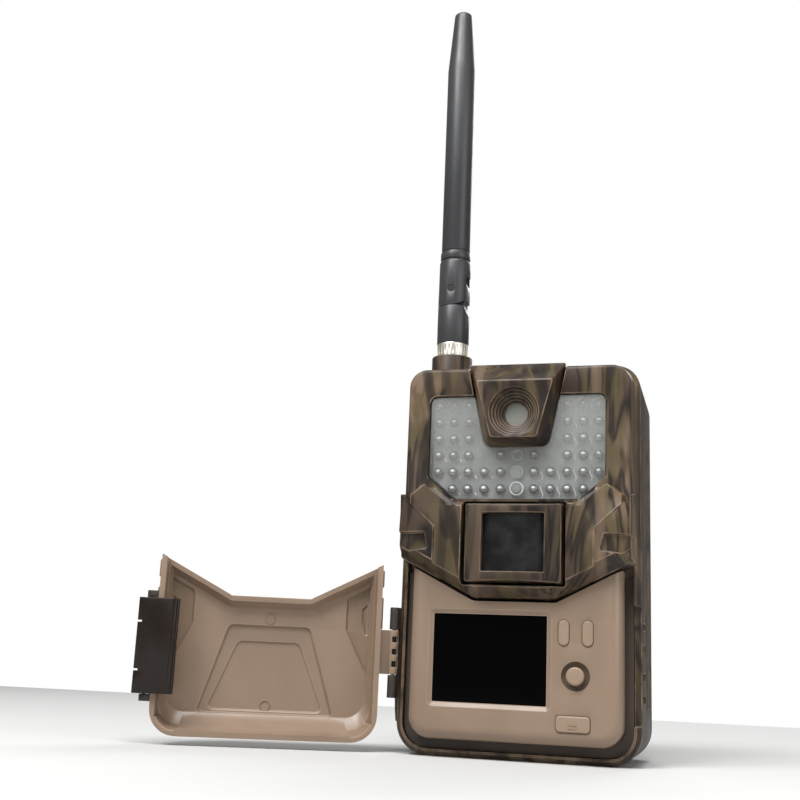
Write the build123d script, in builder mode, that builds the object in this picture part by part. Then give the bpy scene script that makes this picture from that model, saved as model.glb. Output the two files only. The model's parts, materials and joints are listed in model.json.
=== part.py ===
"""Trail camera: an upright camo case that stands on its flat bottom.

Millimetres, +Z up, the front faces -Y.  The origin is the mouth of the tripod
thread in the bottom wall.  The door is drawn closed and then swung open.
"""
from build123d import *
import os

os.makedirs("parts", exist_ok=True)

# ---------------------------------------------------------------- driving dimensions
body_width = 91.3
body_height = 148.6
case_half = body_width / 2
corner_low = 12.0              # radius of the case's two lower corners
corner_high = 9.5              # and of its two upper ones
wall = 2.2                     # general wall thickness of the mouldings
seam_y = -13.0                 # front plane of the rear shell's rim
back_y = 44.0                  # outside of the back wall
back_round = 3.4
rim_chamfer = 1.9
gap = 0.3                      # visible joint between two mouldings
slip = 0.05                    # radial clearance of a pin in its hole

# front shell
shell_face_y = -23.0
shell_half = case_half - 1.75  # half width where it meets the rear shell
shell_top = body_height - 1.4
shell_draft = 8.0              # degrees
v_flat_half = 15.5             # the lower edge is a wide V with a flat bottom
v_flat_z = 57.2
v_slope = 0.517
v_cut_angle = 38.0             # slope of the V's underside in front of the panel
mask_y = -26.0                 # raised lower mask of the front shell
wing_y = -27.2

# infrared window and lamps
window_half = shell_half - 10.3
window_high = shell_top - 12.55
window_low = window_high - 39.75
window_chamfer = (9.7, 8.4)    # across, up
window_y = -22.0
window_thick = 1.6
led_pitch = 6.5
led_rows = [window_high - 2.95 - led_pitch * row for row in range(6)]
led_cols = (6.4, 12.7, 19.0, 25.0, 30.8)
led_r = 1.9
led_board_y = -18.0            # front of the lamp board

# lens hood and camera
lens_z = shell_top - 20.1
hood_y = -28.9
hood_base_y = -21.4
hood_front = ((8.8, shell_top - 29.9), (14.7, shell_top - 7.8))
hood_base = ((12.2, shell_top - 32.4), (18.9, shell_top + 0.4))
bore_rings = ((9.3, -27.7), (8.3, -26.6), (7.2, -25.5), (6.2, -24.4), (5.2, -23.2))
lens_r = 4.9

# motion sensor
pir_half, pir_low, pir_high = 17.4, 64.1, 92.1
pir_y = -27.6
pir_base_grow = 1.9
pir_hole_half, pir_hole_low, pir_hole_high = 11.7, 67.5, 89.1
pir_curve = 26.0
wing_high = pir_high + 5.5     # peak of the wings on both sides of the sensor

# control panel
panel_y = -20.0
rim_width = 2.75               # front rim of the rear shell
groove_width = 3.3             # gasket groove between the rim and the panel
pocket_half = case_half - rim_width
panel_half = pocket_half - groove_width
panel_low = 6.6
panel_round = 4.5
panel_corner = 8.0
flange_y = -8.6                # front of the panel's flange, the floor of the groove
flange_thick = 1.5
lcd_x, lcd_z = -9.0, 36.05
lcd_width, lcd_height = 42.5, 32.1
lcd_bevel = 2.0
key_xs = (18.45, 27.15)
key_z = 46.2
key_width, key_height = 4.0, 9.3
key_travel = 0.5
stick_x, stick_z = 22.85, 31.0
stick_well_r = 5.2
knob_r = 3.3
eject_x, eject_z = 22.0, 14.3
eject_width, eject_height = 12.3, 5.8
board_y = -13.6                # front of the small board behind the panel
board_thick = 1.2

# door
hinge_x, hinge_y = -case_half - 2.05, -12.0
door_open = 158.0              # how far the door stands open, degrees
door_gap = 0.5                 # between the shut door and the rim round it
door_half = pocket_half - door_gap
door_low = rim_width + door_gap
door_rim_y = -10.8
door_mid_y = -20.4
door_face_y = -26.0
door_wall = 2.0
door_v_z = 56.2
door_v_drop = 2.4              # how far the V on the face lies below the V on the rim
door_relief, door_step = 1.2, 0.7   # raised shapes on the face, and the second step on them
knuckle_r = 1.9
hinge_pin_r = 0.8
door_knuckle_z = (28.9, 45.4)
body_knuckle_z = ((20.2, 28.6), (45.7, 54.0))

# latch
latch_x, latch_y = case_half - 0.65, -12.4
latch_low, latch_high = 18.2, 53.2
latch_barrel_r = 1.7
latch_pin_r = 0.7
latch_lift = 1.85              # from the pivot to the plate's inner face
latch_thick = 2.2
latch_long, latch_short = 10.8, 4.2
lug_thick = 2.6
catch_zs = (23.7, 31.7, 41.7, 49.7)
catch_y = -4.0

# battery bay and tray
cell_r, cell_len = 7.1, 50.2
cell_pitch = 14.5
cells_across, cells_deep = 4, 2
bay_front = 7.6
bay_clear = 0.4
bay_wall = 2.0
tray_wall = 1.6
seal_low, seal_high, seal_groove = 1.7, 2.7, 0.8
cap_thick = 3.0

# antenna
antenna_x, antenna_y = 15.05 - case_half, -3.0
boss_r, boss_top = 8.2, body_height + 6.9
nut_r, nut_top = 6.25, boss_top + 5.9
jack_body_r = 4.15
jack_thread_r = 3.0
barrel_r, barrel_top = 6.5, nut_top + 15.6
fold_z = barrel_top + 7.2
fold_gap = 0.2                 # between the whip's cheeks and the barrel
fold_pin_r, fold_pin_sink = 1.5, 0.35
fold_flat = 5.15               # the knuckle's side that faces the folded whip is cut back
tongue_half = 2.9
tongue_r = 6.0
knuckle_top = fold_z + 11.9
whip_r = 5.9
taper_z = knuckle_top + 89.0
tip_z = taper_z + 27.8
tip_r = 3.8

# bottom fittings
insert_r, insert_len = 4.6, 8.0
thread_r = 3.175               # 1/4 inch
boss_wall = 2.0
jack_x = 26.0
jack_r = 5.5

# back bracket
bracket_half, bracket_low, bracket_high = 30.0, 44.0, 112.0
bracket_depth = 7.4
strap_low, strap_high = 66.0, 92.0
strap_gap = 4.6
cable_z, cable_r = 54.0, 2.6
cable_y = back_y + bracket_depth - 3.5


# ---------------------------------------------------------------- helpers
def front(y):
    """Plane seen from the front: local x is +X, local y is +Z, outwards is -Y."""
    return Plane(origin=(0, y, 0), x_dir=(1, 0, 0), z_dir=(0, -1, 0))


def upright(x, y, z=0.0):
    """Level plane at a height, centred on a vertical axis."""
    return Plane(origin=(x, y, z))


def outline(points, radii):
    """Closed profile through points, each corner with its own radius."""
    with BuildSketch() as flat:
        with BuildLine():
            FilletPolyline(*points, radius=radii, close=True)
        make_face()
    return flat.sketch


def case_outline(inset):
    """Front view of the case, drawn in by inset."""
    half = body_width / 2 - inset
    corners = ((-half, inset), (half, inset), (half, body_height - inset), (-half, body_height - inset))
    low, high = corner_low - inset, corner_high - inset
    return outline(corners, (low, low, high, high))


def v_height(x, lift=0.0):
    """Height of the V-shaped lower edge of the front shell at x."""
    return v_flat_z + lift + max(0.0, abs(x) - v_flat_half) * v_slope


def v_run(half, lift=0.0):
    """The V from left to right, out to half."""
    return [(-half, v_height(half, lift)), (-v_flat_half, v_flat_z + lift),
            (v_flat_half, v_flat_z + lift), (half, v_height(half, lift))]


def shell_outline(half, top, lift, radius):
    """Front shell: a V below, rounded shoulders above."""
    points = v_run(half, lift) + [(half, top), (-half, top)]
    return outline(points, (0, 3.0, 3.0, 0, radius, radius))


def under_v(half, low, lift, radius):
    """Everything below the V, such as the panel or the door."""
    points = [(-half, low), (half, low)] + v_run(half, lift)[::-1]
    return outline(points, (radius, radius, 0, 3.0, 3.0, 0))


def trapezoid(low_pair, high_pair, low_r, high_r):
    """Symmetric four-cornered profile from (half width, height) pairs."""
    (low_half, low_z), (high_half, high_z) = low_pair, high_pair
    points = ((-low_half, low_z), (low_half, low_z), (high_half, high_z), (-high_half, high_z))
    return outline(points, (low_r, low_r, high_r, high_r))


def save(builder, name):
    """Label a finished piece and write its file."""
    builder.part.label = name
    export_step(builder.part, f"parts/{name}.step")


def on_door(builder):
    """Swing a piece that was drawn on the closed door out to the open door."""
    hinge = Axis((hinge_x, hinge_y, 0), (0, 0, 1))
    builder.part = builder.part.rotate(hinge, -door_open)


# ---------------------------------------------------------------- rear shell
tray_half = cells_across * cell_pitch / 2 + tray_wall + 0.4
tray_depth = cells_deep * cell_pitch + 2 * tray_wall
tray_front = bay_front + bay_clear
tray_back = tray_front + tray_depth
tray_top = cap_thick + cell_len + 7.0
bay_half = tray_half + bay_clear
bay_back = tray_back + bay_clear
bay_top = tray_top + 1.6
cavity_back = back_y - 4.0
panel_back = flange_y + flange_thick

notch_low = latch_low - lug_thick - 1.2
notch_high = latch_high + lug_thick + 1.2
notch_floor = latch_y + latch_barrel_r + 0.5
screw_r, screw_sink = 2.6, 1.2
screw_spots = [(side * (case_half - 8.15), z) for side in (-1, 1) for z in (20.0, 74.0, body_height - 14.6)]

with BuildPart() as rear_shell:
    with BuildSketch(front(seam_y)):
        add(case_outline(0))
    extrude(amount=seam_y - back_y)
    fillet(rear_shell.faces().sort_by(Axis.Y)[-1].edges(), back_round)
    chamfer(rear_shell.faces().sort_by(Axis.Y)[0].edges(), rim_chamfer)
    # pocket for the gaskets, the panel's flange and the front shell
    with BuildSketch(front(seam_y)):
        add(case_outline(rim_width))
    extrude(amount=seam_y - panel_back, mode=Mode.SUBTRACT)
    # opening in the ledge that carries them
    with BuildSketch(front(panel_back)):
        add(case_outline(rim_width + wall))
    extrude(amount=-2.5, mode=Mode.SUBTRACT)
    # main cavity
    with BuildSketch(front(panel_back + 2.4)):
        add(case_outline(wall))
    extrude(amount=panel_back + 2.4 - cavity_back, mode=Mode.SUBTRACT)
    # housing of the battery bay
    with BuildSketch(upright(0, (bay_front - bay_wall + cavity_back + 0.4) / 2)):
        Rectangle(2 * (bay_half + bay_wall), cavity_back + 0.4 - bay_front + bay_wall)
    extrude(amount=bay_top + bay_wall)
    with BuildSketch(upright(0, (bay_front + bay_back) / 2, -1)):
        Rectangle(2 * bay_half, bay_back - bay_front)
    extrude(amount=bay_top + 1, mode=Mode.SUBTRACT)
    # slot in the bay's front wall for the tongue of the tray catch
    with BuildSketch(front(bay_front - bay_wall - 1)):
        with Locations((eject_x, eject_z + 11.5)):
            Rectangle(6.0, 11.0)
    extrude(amount=-bay_wall - 2, mode=Mode.SUBTRACT)
    # bosses round the tripod insert and the power jack
    with BuildSketch(upright(0, 0)):
        Circle(insert_r + boss_wall)
        with Locations((jack_x, 0)):
            Circle(jack_r)
    extrude(amount=insert_len + boss_wall)
    with BuildSketch(upright(0, 0, -1)):
        Circle(insert_r)
    extrude(amount=insert_len + 1, mode=Mode.SUBTRACT)
    with BuildSketch(upright(jack_x, 0, -1)):
        Circle(3.6)
    extrude(amount=insert_len + boss_wall + 2, mode=Mode.SUBTRACT)
    with BuildSketch(upright(jack_x, 0, -1)):
        Circle(4.6)
    extrude(amount=2.4, mode=Mode.SUBTRACT)
    # antenna boss, open for the coaxial jack
    with BuildSketch(upright(antenna_x, antenna_y, body_height - wall)):
        Circle(boss_r)
    extrude(amount=boss_top - body_height + wall)
    with BuildSketch(upright(antenna_x, antenna_y, body_height - 3 * wall)):
        Circle(jack_body_r + slip)
    extrude(amount=boss_top - body_height + 3 * wall + 1, mode=Mode.SUBTRACT)
    # notch in the rim for the latch barrel and its lugs
    with BuildSketch(upright(case_half, (seam_y - 3 + notch_floor) / 2, notch_low)):
        Rectangle(2 * (rim_width), notch_floor - seam_y + 3)
    extrude(amount=notch_high - notch_low, mode=Mode.SUBTRACT)
    with BuildSketch(front(back_y - screw_sink)):
        with Locations(*screw_spots):
            Circle(screw_r + 0.1)
    extrude(amount=-screw_sink - 1, mode=Mode.SUBTRACT)
    # catch bumps on the right side
    for z in catch_zs:
        with BuildSketch(upright(case_half, catch_y, z - 1.5)):
            Polygon((-0.4, -1.4), (0.0, -1.4), (0.95, 0.2), (0.95, 0.6), (-0.4, 0.6), align=None)
        extrude(amount=3.0)
    # shallow grip flutes low on both sides
    for side in (-1, 1):
        for step in range(5):
            with BuildSketch(upright(side * (case_half + 1.2), 10.0 + 6.0 * step, 20.0)):
                Circle(1.9)
            extrude(amount=105.0, mode=Mode.SUBTRACT)
save(rear_shell, "rear_shell")

# bracket on the back: two curved jaws that grip the tree, slots for a strap
with BuildPart() as strap_bracket:
    with BuildSketch(upright(0, 0, bracket_low)):
        with BuildLine():
            Polyline((-bracket_half, back_y), (-bracket_half, back_y + bracket_depth),
                     (-bracket_half + 5.0, back_y + bracket_depth))
            ThreePointArc((-bracket_half + 5.0, back_y + bracket_depth), (0, back_y + 2.4),
                          (bracket_half - 5.0, back_y + bracket_depth))
            Polyline((bracket_half - 5.0, back_y + bracket_depth), (bracket_half, back_y + bracket_depth),
                     (bracket_half, back_y), (-bracket_half, back_y))
        make_face()
    extrude(amount=bracket_high - bracket_low)
    with BuildSketch(front(back_y + 0.8)):
        with Locations((0, (bracket_low + bracket_high) / 2)):
            Rectangle(2 * bracket_half - 12.0, strap_high - strap_low + 34.0)
            Rectangle(9.0, strap_high - strap_low + 40.0, mode=Mode.SUBTRACT)
    extrude(amount=-bracket_depth, mode=Mode.SUBTRACT)
    # the strap passes sideways through both jaws
    with BuildSketch(upright(0, back_y + 0.8 + strap_gap / 2, strap_low)):
        Rectangle(2 * bracket_half + 2, strap_gap)
    extrude(amount=strap_high - strap_low, mode=Mode.SUBTRACT)
    with BuildSketch(Plane.YZ.offset(-bracket_half - 1)):
        with Locations((cable_y, cable_z)):
            Circle(cable_r)
    extrude(amount=2 * bracket_half + 2, mode=Mode.SUBTRACT)
save(strap_bracket, "strap_bracket")

# ---------------------------------------------------------------- front shell
shell_back = seam_y - gap
shell_depth = shell_back - shell_face_y


def v_undercut():
    """The sloped underside of the V, in front of the panel face."""
    with BuildPart() as cut:
        with BuildSketch(front(panel_y)):
            add(outline([(-70, 0), (70, 0)] + v_run(70)[::-1], (0, 0, 0, 0, 0, 0)))
        extrude(amount=9.0, taper=-v_cut_angle)
    return cut.part


window_points = [(-window_half + window_chamfer[0], window_low), (window_half - window_chamfer[0], window_low),
                 (window_half, window_low + window_chamfer[1]), (window_half, window_high),
                 (-window_half, window_high), (-window_half, window_low + window_chamfer[1])]
window_sketch = outline(window_points, (1.5, 1.5, 1.5, 2.5, 2.5, 1.5))
hood_base_sketch = trapezoid(*hood_base, 3.6, 0.8)
pir_base_sketch = trapezoid((pir_half + pir_base_grow, pir_low - 1.4),
                            (pir_half + pir_base_grow, pir_high + 1.4), 1.0, 1.0)


def wing_outline(side, grow):
    """Raised wing beside the motion sensor: a slanted top and a vertical inner edge."""
    inner, outer = shell_half - 15.2 - grow, shell_half + 6
    points = [(side * inner, v_height(inner)), (side * outer, v_height(outer)),
              (side * outer, wing_high + 1.9 + grow), (side * (shell_half - 0.4), wing_high + grow),
              (side * inner, wing_high - 13.6 + grow * 0.6)]
    return outline(points, (0, 0, 0, 0.8, 1.6))


with BuildPart() as front_shell:
    with BuildSketch(front(shell_back)):
        add(shell_outline(shell_half, shell_top, 0, corner_high - 1.4))
    extrude(amount=shell_depth, taper=shell_draft)
    face_edges = front_shell.faces().sort_by(Axis.Y)[0].edges()
    fillet(face_edges.filter_by(lambda e: e.center().Z > lcd_z * 2), 1.4)
    # raised mask: everything below the infrared window
    with BuildSketch(front(shell_face_y + 1.0)):
        mask_half, mask_top = shell_half - 2.9, window_low + 1.6
        points = v_run(mask_half) + [(mask_half, mask_top), (window_half + 0.6, mask_top + 5.5),
                                (window_half - window_chamfer[0] + 0.4, window_low - 1.6),
                                (-window_half + window_chamfer[0] - 0.4, window_low - 1.6),
                                (-window_half - 0.6, mask_top + 5.5), (-mask_half, mask_top)]
        add(outline(points, (0.5, 3, 3, 0.5, 2, 2, 2, 2, 2, 2)))
    extrude(amount=shell_face_y + 1.0 - mask_y, taper=18)
    # the two wings stand a little prouder and wrap the sides
    for side in (-1, 1):
        with BuildSketch(front(shell_back - 1.0)):
            add(wing_outline(side, 0))
            with Locations((side * (shell_half + 7.4), pir_high)):
                Rectangle(14.0, pir_high, mode=Mode.SUBTRACT)
        extrude(amount=shell_back - 1.0 - wing_y, taper=5)
    add(v_undercut(), mode=Mode.SUBTRACT)
    # hollow
    with BuildSketch(front(shell_back)):
        add(shell_outline(shell_half - wall, shell_top - wall, wall + 0.4, corner_high - 3.4))
    extrude(amount=shell_depth - wall, taper=shell_draft, mode=Mode.SUBTRACT)
    with BuildSketch(front(shell_face_y + wall + 0.1)):
        add(window_sketch)
        with Locations((0, (window_high + body_height) / 2)):
            Rectangle(2 * hood_base[1][0] - 9.0, 8.0, mode=Mode.SUBTRACT)
        offset(amount=gap)
    extrude(amount=wall + 4.0, mode=Mode.SUBTRACT)
    with BuildSketch(front(shell_face_y + wall + 0.1)):
        add(hood_base_sketch)
        offset(amount=gap)
    extrude(amount=wall + 6.0, mode=Mode.SUBTRACT)
    with BuildSketch(front(shell_face_y + wall + 0.1)):
        add(pir_base_sketch)
        offset(amount=gap)
    extrude(amount=12.0, mode=Mode.SUBTRACT)
    # side notch across each wing
    for side in (-1, 1):
        with BuildSketch(front(mask_y + 0.6)):
            near, far = shell_half - 11.9, shell_half + 16.1
            add(outline([(side * near, 75.6), (side * far, 71.4), (side * far, 80.6), (side * (near + 1.6), 81.7)],
                        (0.8, 0, 0, 0.8)))
        extrude(amount=6.0, mode=Mode.SUBTRACT)
        with BuildSketch(front(shell_back - 2.4)):
            near = shell_half - 0.5
            add(outline([(side * near, 73.8), (side * far, 72.4), (side * far, 80.6), (side * near, 81.2)],
                        (0.3, 0, 0, 0.3)))
        extrude(amount=15.0, mode=Mode.SUBTRACT)
save(front_shell, "front_shell")

with BuildPart() as ir_window:
    with BuildSketch(front(window_y + window_thick)):
        add(window_sketch)
        offset(amount=-0.05)
        with BuildSketch(mode=Mode.SUBTRACT):
            add(hood_base_sketch)
            offset(amount=gap)
    extrude(amount=window_thick)
save(ir_window, "ir_window")

led_spots = []
for row, z in enumerate(led_rows):
    for col, x in enumerate(led_cols):
        beside_hood = row < 4 and col >= 2
        above_sensor = row == 3 and col == 0
        full_row = row == 4 or (row == 5 and col < 4)
        if beside_hood or above_sensor or full_row:
            led_spots += [(-x, z), (x, z)]

with BuildPart() as ir_leds:
    for x, z in led_spots:
        with BuildSketch(front(led_board_y)):
            with Locations((x, z)):
                Circle(led_r)
        extrude(amount=0.9)
        with BuildSketch(front(led_board_y - 0.9)):
            with Locations((x, z)):
                Circle(led_r - 0.25)
        extrude(amount=1.2, taper=20)
save(ir_leds, "ir_leds")

with BuildPart() as ir_led_board:
    with BuildSketch(front(led_board_y + board_thick)):
        add(window_sketch)
        offset(amount=-0.6)
        with Locations((0, lens_z)):
            Circle(7.4, mode=Mode.SUBTRACT)
    extrude(amount=board_thick)
save(ir_led_board, "ir_led_board")

with BuildPart() as light_sensor:
    with BuildSketch(front(led_board_y)):
        with Locations((0, led_rows[5])):
            Circle(2.6)
    extrude(amount=1.3)
    with BuildSketch(front(led_board_y - 1.3)):
        with Locations((0, led_rows[5])):
            Circle(1.5)
    extrude(amount=0.9)
    with BuildSketch(front(led_board_y)):
        with Locations((0, led_rows[4])):
            Circle(2.4)
    extrude(amount=2.0, taper=14)
save(light_sensor, "light_sensor")

with BuildPart() as lens_hood:
    with BuildSketch(front(hood_base_y)):
        add(hood_base_sketch)
    with BuildSketch(front(hood_y)):
        add(trapezoid(*hood_front, 1.6, 0.8))
    loft(ruled=True)
    for ring_r, ring_y in bore_rings:
        with BuildSketch(front(ring_y)):
            with Locations((0, lens_z)):
                Circle(ring_r)
        extrude(amount=12.0, mode=Mode.SUBTRACT)
    with BuildSketch(front(hood_base_y + 1)):
        with Locations((0, lens_z)):
            Circle(lens_r - 0.6)
    extrude(amount=8.0, mode=Mode.SUBTRACT)
    with BuildSketch(front(hood_base_y + 1)):
        with Locations((0, lens_z)):
            Circle(lens_r + slip)
    extrude(amount=1.9, mode=Mode.SUBTRACT)
save(lens_hood, "lens_hood")

with BuildPart() as lens_window:
    with BuildSketch(front(hood_base_y)):
        with Locations((0, lens_z)):
            Circle(lens_r)
    extrude(amount=0.9)
save(lens_window, "lens_window")

with BuildPart() as camera_module:
    with BuildSketch(front(-12.0)):
        with Locations((0, lens_z)):
            RectangleRounded(18.0, 18.0, 1.0)
    extrude(amount=3.0)
    with BuildSketch(front(-15.0)):
        with Locations((0, lens_z)):
            Circle(6.6)
    extrude(amount=3.2)
    with BuildSketch(front(-18.2)):
        with Locations((0, lens_z)):
            Circle(4.5)
    extrude(amount=2.9)
    with BuildSketch(front(-21.1)):
        with Locations((0, lens_z)):
            Circle(2.9)
    extrude(amount=1.2, mode=Mode.SUBTRACT)
    with BuildSketch(front(-20.0)):
        with Locations((0, lens_z)):
            Circle(2.9)
    extrude(amount=1.6, mode=Mode.SUBTRACT)
save(camera_module, "camera_module")

# ---------------------------------------------------------------- motion sensor
pir_centre_y = pir_y + pir_curve
pir_z = (pir_low + pir_high) / 2
pir_board_y = -14.6

with BuildPart() as pir_frame:
    with BuildSketch(front(shell_face_y + wall)):
        add(pir_base_sketch)
    with BuildSketch(front(pir_y)):
        add(trapezoid((pir_half, pir_low), (pir_half, pir_high), 1.0, 1.0))
    loft(ruled=True)
    # bowed front
    with BuildSketch(upright(0, 0, pir_low - 5)):
        with Locations((0, pir_y - 5)):
            Rectangle(60, 14)
        with Locations((0, pir_y + 2.4 * pir_curve)):
            Circle(2.4 * pir_curve, mode=Mode.SUBTRACT)
    extrude(amount=40.0, mode=Mode.SUBTRACT)
    with BuildSketch(front(shell_face_y + wall + 1)):
        with Locations((0, (pir_hole_low + pir_hole_high) / 2)):
            Rectangle(2 * pir_hole_half, pir_hole_high - pir_hole_low)
    extrude(amount=12.0, mode=Mode.SUBTRACT)
save(pir_frame, "pir_frame")

with BuildPart() as pir_lens:
    with BuildSketch(upright(0, 0, pir_hole_low + 0.05)):
        with Locations((0, pir_centre_y + 1.3)):
            Circle(pir_curve)
            Circle(pir_curve - 0.9, mode=Mode.SUBTRACT)
        with Locations((0, pir_y + 1.0)):
            Rectangle(2 * pir_hole_half - 0.1, 10.0, mode=Mode.INTERSECT)
    extrude(amount=pir_hole_high - pir_hole_low - 0.1)
save(pir_lens, "pir_lens")

with BuildPart() as pir_sensor:
    with BuildSketch(front(pir_board_y)):
        with Locations((0, pir_z)):
            Circle(4.6)
    extrude(amount=4.2)
    with BuildSketch(front(pir_board_y - 4.2)):
        with Locations((0, pir_z)):
            RectangleRounded(4.0, 3.0, 0.4)
    extrude(amount=0.4)
save(pir_sensor, "pir_sensor")

with BuildPart() as pir_board:
    with BuildSketch(front(pir_board_y + board_thick)):
        with Locations((0, pir_z)):
            Rectangle(24.0, 20.0)
    extrude(amount=board_thick)
save(pir_board, "pir_board")

# ---------------------------------------------------------------- control panel
with BuildPart() as control_panel:
    with BuildSketch(front(flange_y)):
        add(under_v(panel_half, panel_low, -gap, panel_corner))
    extrude(amount=flange_y - panel_y)
    rim = control_panel.faces().sort_by(Axis.Y)[0].edges().filter_by(lambda e: e.center().Z < v_flat_z - 3)
    fillet(rim, panel_round)
    with BuildSketch(front(panel_back)):
        add(under_v(pocket_half - gap, rim_width + gap, 3.0, corner_low - 3.2))
    extrude(amount=flange_thick)
    with BuildSketch(front(panel_back)):
        add(under_v(panel_half - wall, panel_low + wall, -gap - wall, panel_corner - wall))
    extrude(amount=panel_back - panel_y - 2.0, mode=Mode.SUBTRACT)
    # display opening with a bevelled surround
    with BuildSketch(front(panel_y + 3)):
        with Locations((lcd_x, lcd_z)):
            RectangleRounded(lcd_width, lcd_height, 0.6)
    extrude(amount=4.0, mode=Mode.SUBTRACT)
    with BuildSketch(front(panel_y + 0.9)):
        with Locations((lcd_x, lcd_z)):
            RectangleRounded(lcd_width + 0.4, lcd_height + 0.4, 0.6)
    extrude(amount=1.2, taper=-60, mode=Mode.SUBTRACT)
    with BuildSketch(front(panel_y + 3)):
        for x in key_xs:
            with Locations((x, key_z)):
                SlotOverall(key_height + 2 * 0.15, key_width + 2 * 0.15, rotation=90)
        with Locations((stick_x, stick_z)):
            Circle(stick_well_r)
        with Locations((eject_x, eject_z)):
            RectangleRounded(eject_width + 0.3, eject_height + 0.3, 1.5)
    extrude(amount=4.0, mode=Mode.SUBTRACT)
save(control_panel, "control_panel")

with BuildPart() as lcd_window:
    with BuildSketch(front(panel_y + 2.0)):
        with Locations((lcd_x, lcd_z)):
            RectangleRounded(lcd_width - 0.1, lcd_height - 0.1, 0.6)
    extrude(amount=1.1)
save(lcd_window, "lcd_window")

with BuildPart() as lcd_module:
    with BuildSketch(front(panel_y + 4.8)):
        with Locations((lcd_x, lcd_z - 0.6)):
            Rectangle(46.5, 36.5)
    extrude(amount=2.7)
save(lcd_module, "lcd_module")

with BuildPart() as panel_board:
    with BuildSketch(front(board_y + board_thick)):
        with Locations((0, 31.0)):
            Rectangle(70.0, 40.0)
    extrude(amount=board_thick)
    with BuildSketch(front(board_y + board_thick + 1)):
        with Locations((eject_x, eject_z)):
            Rectangle(14.0, 9.0)
    extrude(amount=4.0, mode=Mode.SUBTRACT)
save(panel_board, "panel_board")

stem_back = panel_y + 3.0
for name, x in (("menu_button", key_xs[0]), ("ok_button", key_xs[1])):
    with BuildPart() as key:
        with BuildSketch(front(panel_y + 2.15)):
            with Locations((x, key_z)):
                SlotOverall(key_height, key_width, rotation=90)
        extrude(amount=2.75)
        fillet(key.faces().sort_by(Axis.Y)[0].edges(), 0.6)
        with BuildSketch(front(panel_y + 2.85)):
            with Locations((x, key_z)):
                SlotOverall(key_height + 1.6, key_width + 1.6, rotation=90)
        extrude(amount=0.7)
        with BuildSketch(front(stem_back)):
            with Locations((x, key_z)):
                Circle(1.2)
        extrude(amount=0.4)
    save(key, name)

switch_top = stem_back + key_travel + 0.1
with BuildPart() as button_switches:
    for x in key_xs:
        with BuildSketch(front(board_y)):
            with Locations((x, key_z)):
                RectangleRounded(4.4, 4.4, 0.4)
        extrude(amount=1.6)
        with BuildSketch(front(board_y - 1.6)):
            with Locations((x, key_z)):
                Circle(1.3)
        extrude(amount=board_y - 1.6 - switch_top)
save(button_switches, "button_switches")

# joystick: a base, a ring that tilts up and down, a cup that tilts sideways, a knob that presses
stick_pivot_y = board_y - 2.4
with BuildPart() as joystick_base:
    with BuildSketch(front(board_y)):
        with Locations((stick_x, stick_z)):
            RectangleRounded(7.6, 7.6, 0.8)
            Rectangle(6.2, 6.2, mode=Mode.SUBTRACT)
    extrude(amount=3.6)
save(joystick_base, "joystick_base")

with BuildPart() as joystick_ring:
    with BuildSketch(front(stick_pivot_y + 0.5)):
        with Locations((stick_x, stick_z)):
            Circle(2.7)
            Circle(2.1, mode=Mode.SUBTRACT)
    extrude(amount=1.0)
save(joystick_ring, "joystick_ring")

with BuildPart() as joystick_cup:
    with BuildSketch(front(stick_pivot_y + 0.5)):
        with Locations((stick_x, stick_z)):
            Circle(1.8)
            Circle(1.2, mode=Mode.SUBTRACT)
    extrude(amount=1.8)
save(joystick_cup, "joystick_cup")

knob_front = panel_y - 2.3
with BuildPart() as joystick_knob:
    with BuildSketch(front(stick_pivot_y + 0.6)):
        with Locations((stick_x, stick_z)):
            Circle(1.15)
    extrude(amount=stick_pivot_y + 0.6 - knob_front - 1.0)
    with BuildSketch(front(knob_front + 2.4)):
        with Locations((stick_x, stick_z)):
            Circle(knob_r)
    extrude(amount=2.4)
    fillet(joystick_knob.faces().sort_by(Axis.Y)[0].edges(), 0.9)
save(joystick_knob, "joystick_knob")

# eject button, its spring and the lever that holds the battery tray
plunger_back = board_y + board_thick + 6.0
with BuildPart() as eject_button:
    with BuildSketch(front(panel_y + 2.15)):
        with Locations((eject_x, eject_z)):
            RectangleRounded(eject_width, eject_height, 1.4)
    extrude(amount=2.95)
    fillet(eject_button.faces().sort_by(Axis.Y)[0].edges(), 0.7)
    with BuildSketch(front(panel_y + 3.15)):
        with Locations((eject_x, eject_z)):
            RectangleRounded(eject_width + 1.4, eject_height + 1.4, 1.4)
    extrude(amount=1.0)
    with BuildSketch(front(plunger_back)):
        with Locations((eject_x, eject_z)):
            Circle(1.6)
    extrude(amount=plunger_back - panel_y - 3.0)
save(eject_button, "eject_button")

lever_x = eject_x
lever_y = plunger_back + 1.8
lever_z = eject_z + 5.0
with BuildPart() as tray_catch:
    with BuildSketch(Plane.YZ.offset(lever_x - 2.0)):
        with Locations((lever_y, lever_z)):
            Circle(2.2)
        with Locations((lever_y, (lever_z + eject_z - 1.2) / 2)):
            Rectangle(2.0, lever_z - eject_z + 1.2)
        with Locations((lever_y, lever_z + 2.6)):
            Rectangle(2.0, 5.2)
        with Locations(((lever_y + bay_front + 0.1) / 2, eject_z + 9.0)):
            Rectangle(bay_front + 0.1 - lever_y, 2.4)
        with Locations((lever_y, lever_z)):
            Circle(1.0 + slip, mode=Mode.SUBTRACT)
    extrude(amount=4.0)
save(tray_catch, "tray_catch")

with BuildPart() as catch_pin:
    with BuildSketch(Plane.YZ.offset(lever_x - 4.2)):
        with Locations((lever_y, lever_z)):
            Circle(1.0)
    extrude(amount=8.4)
save(catch_pin, "catch_pin")

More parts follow.
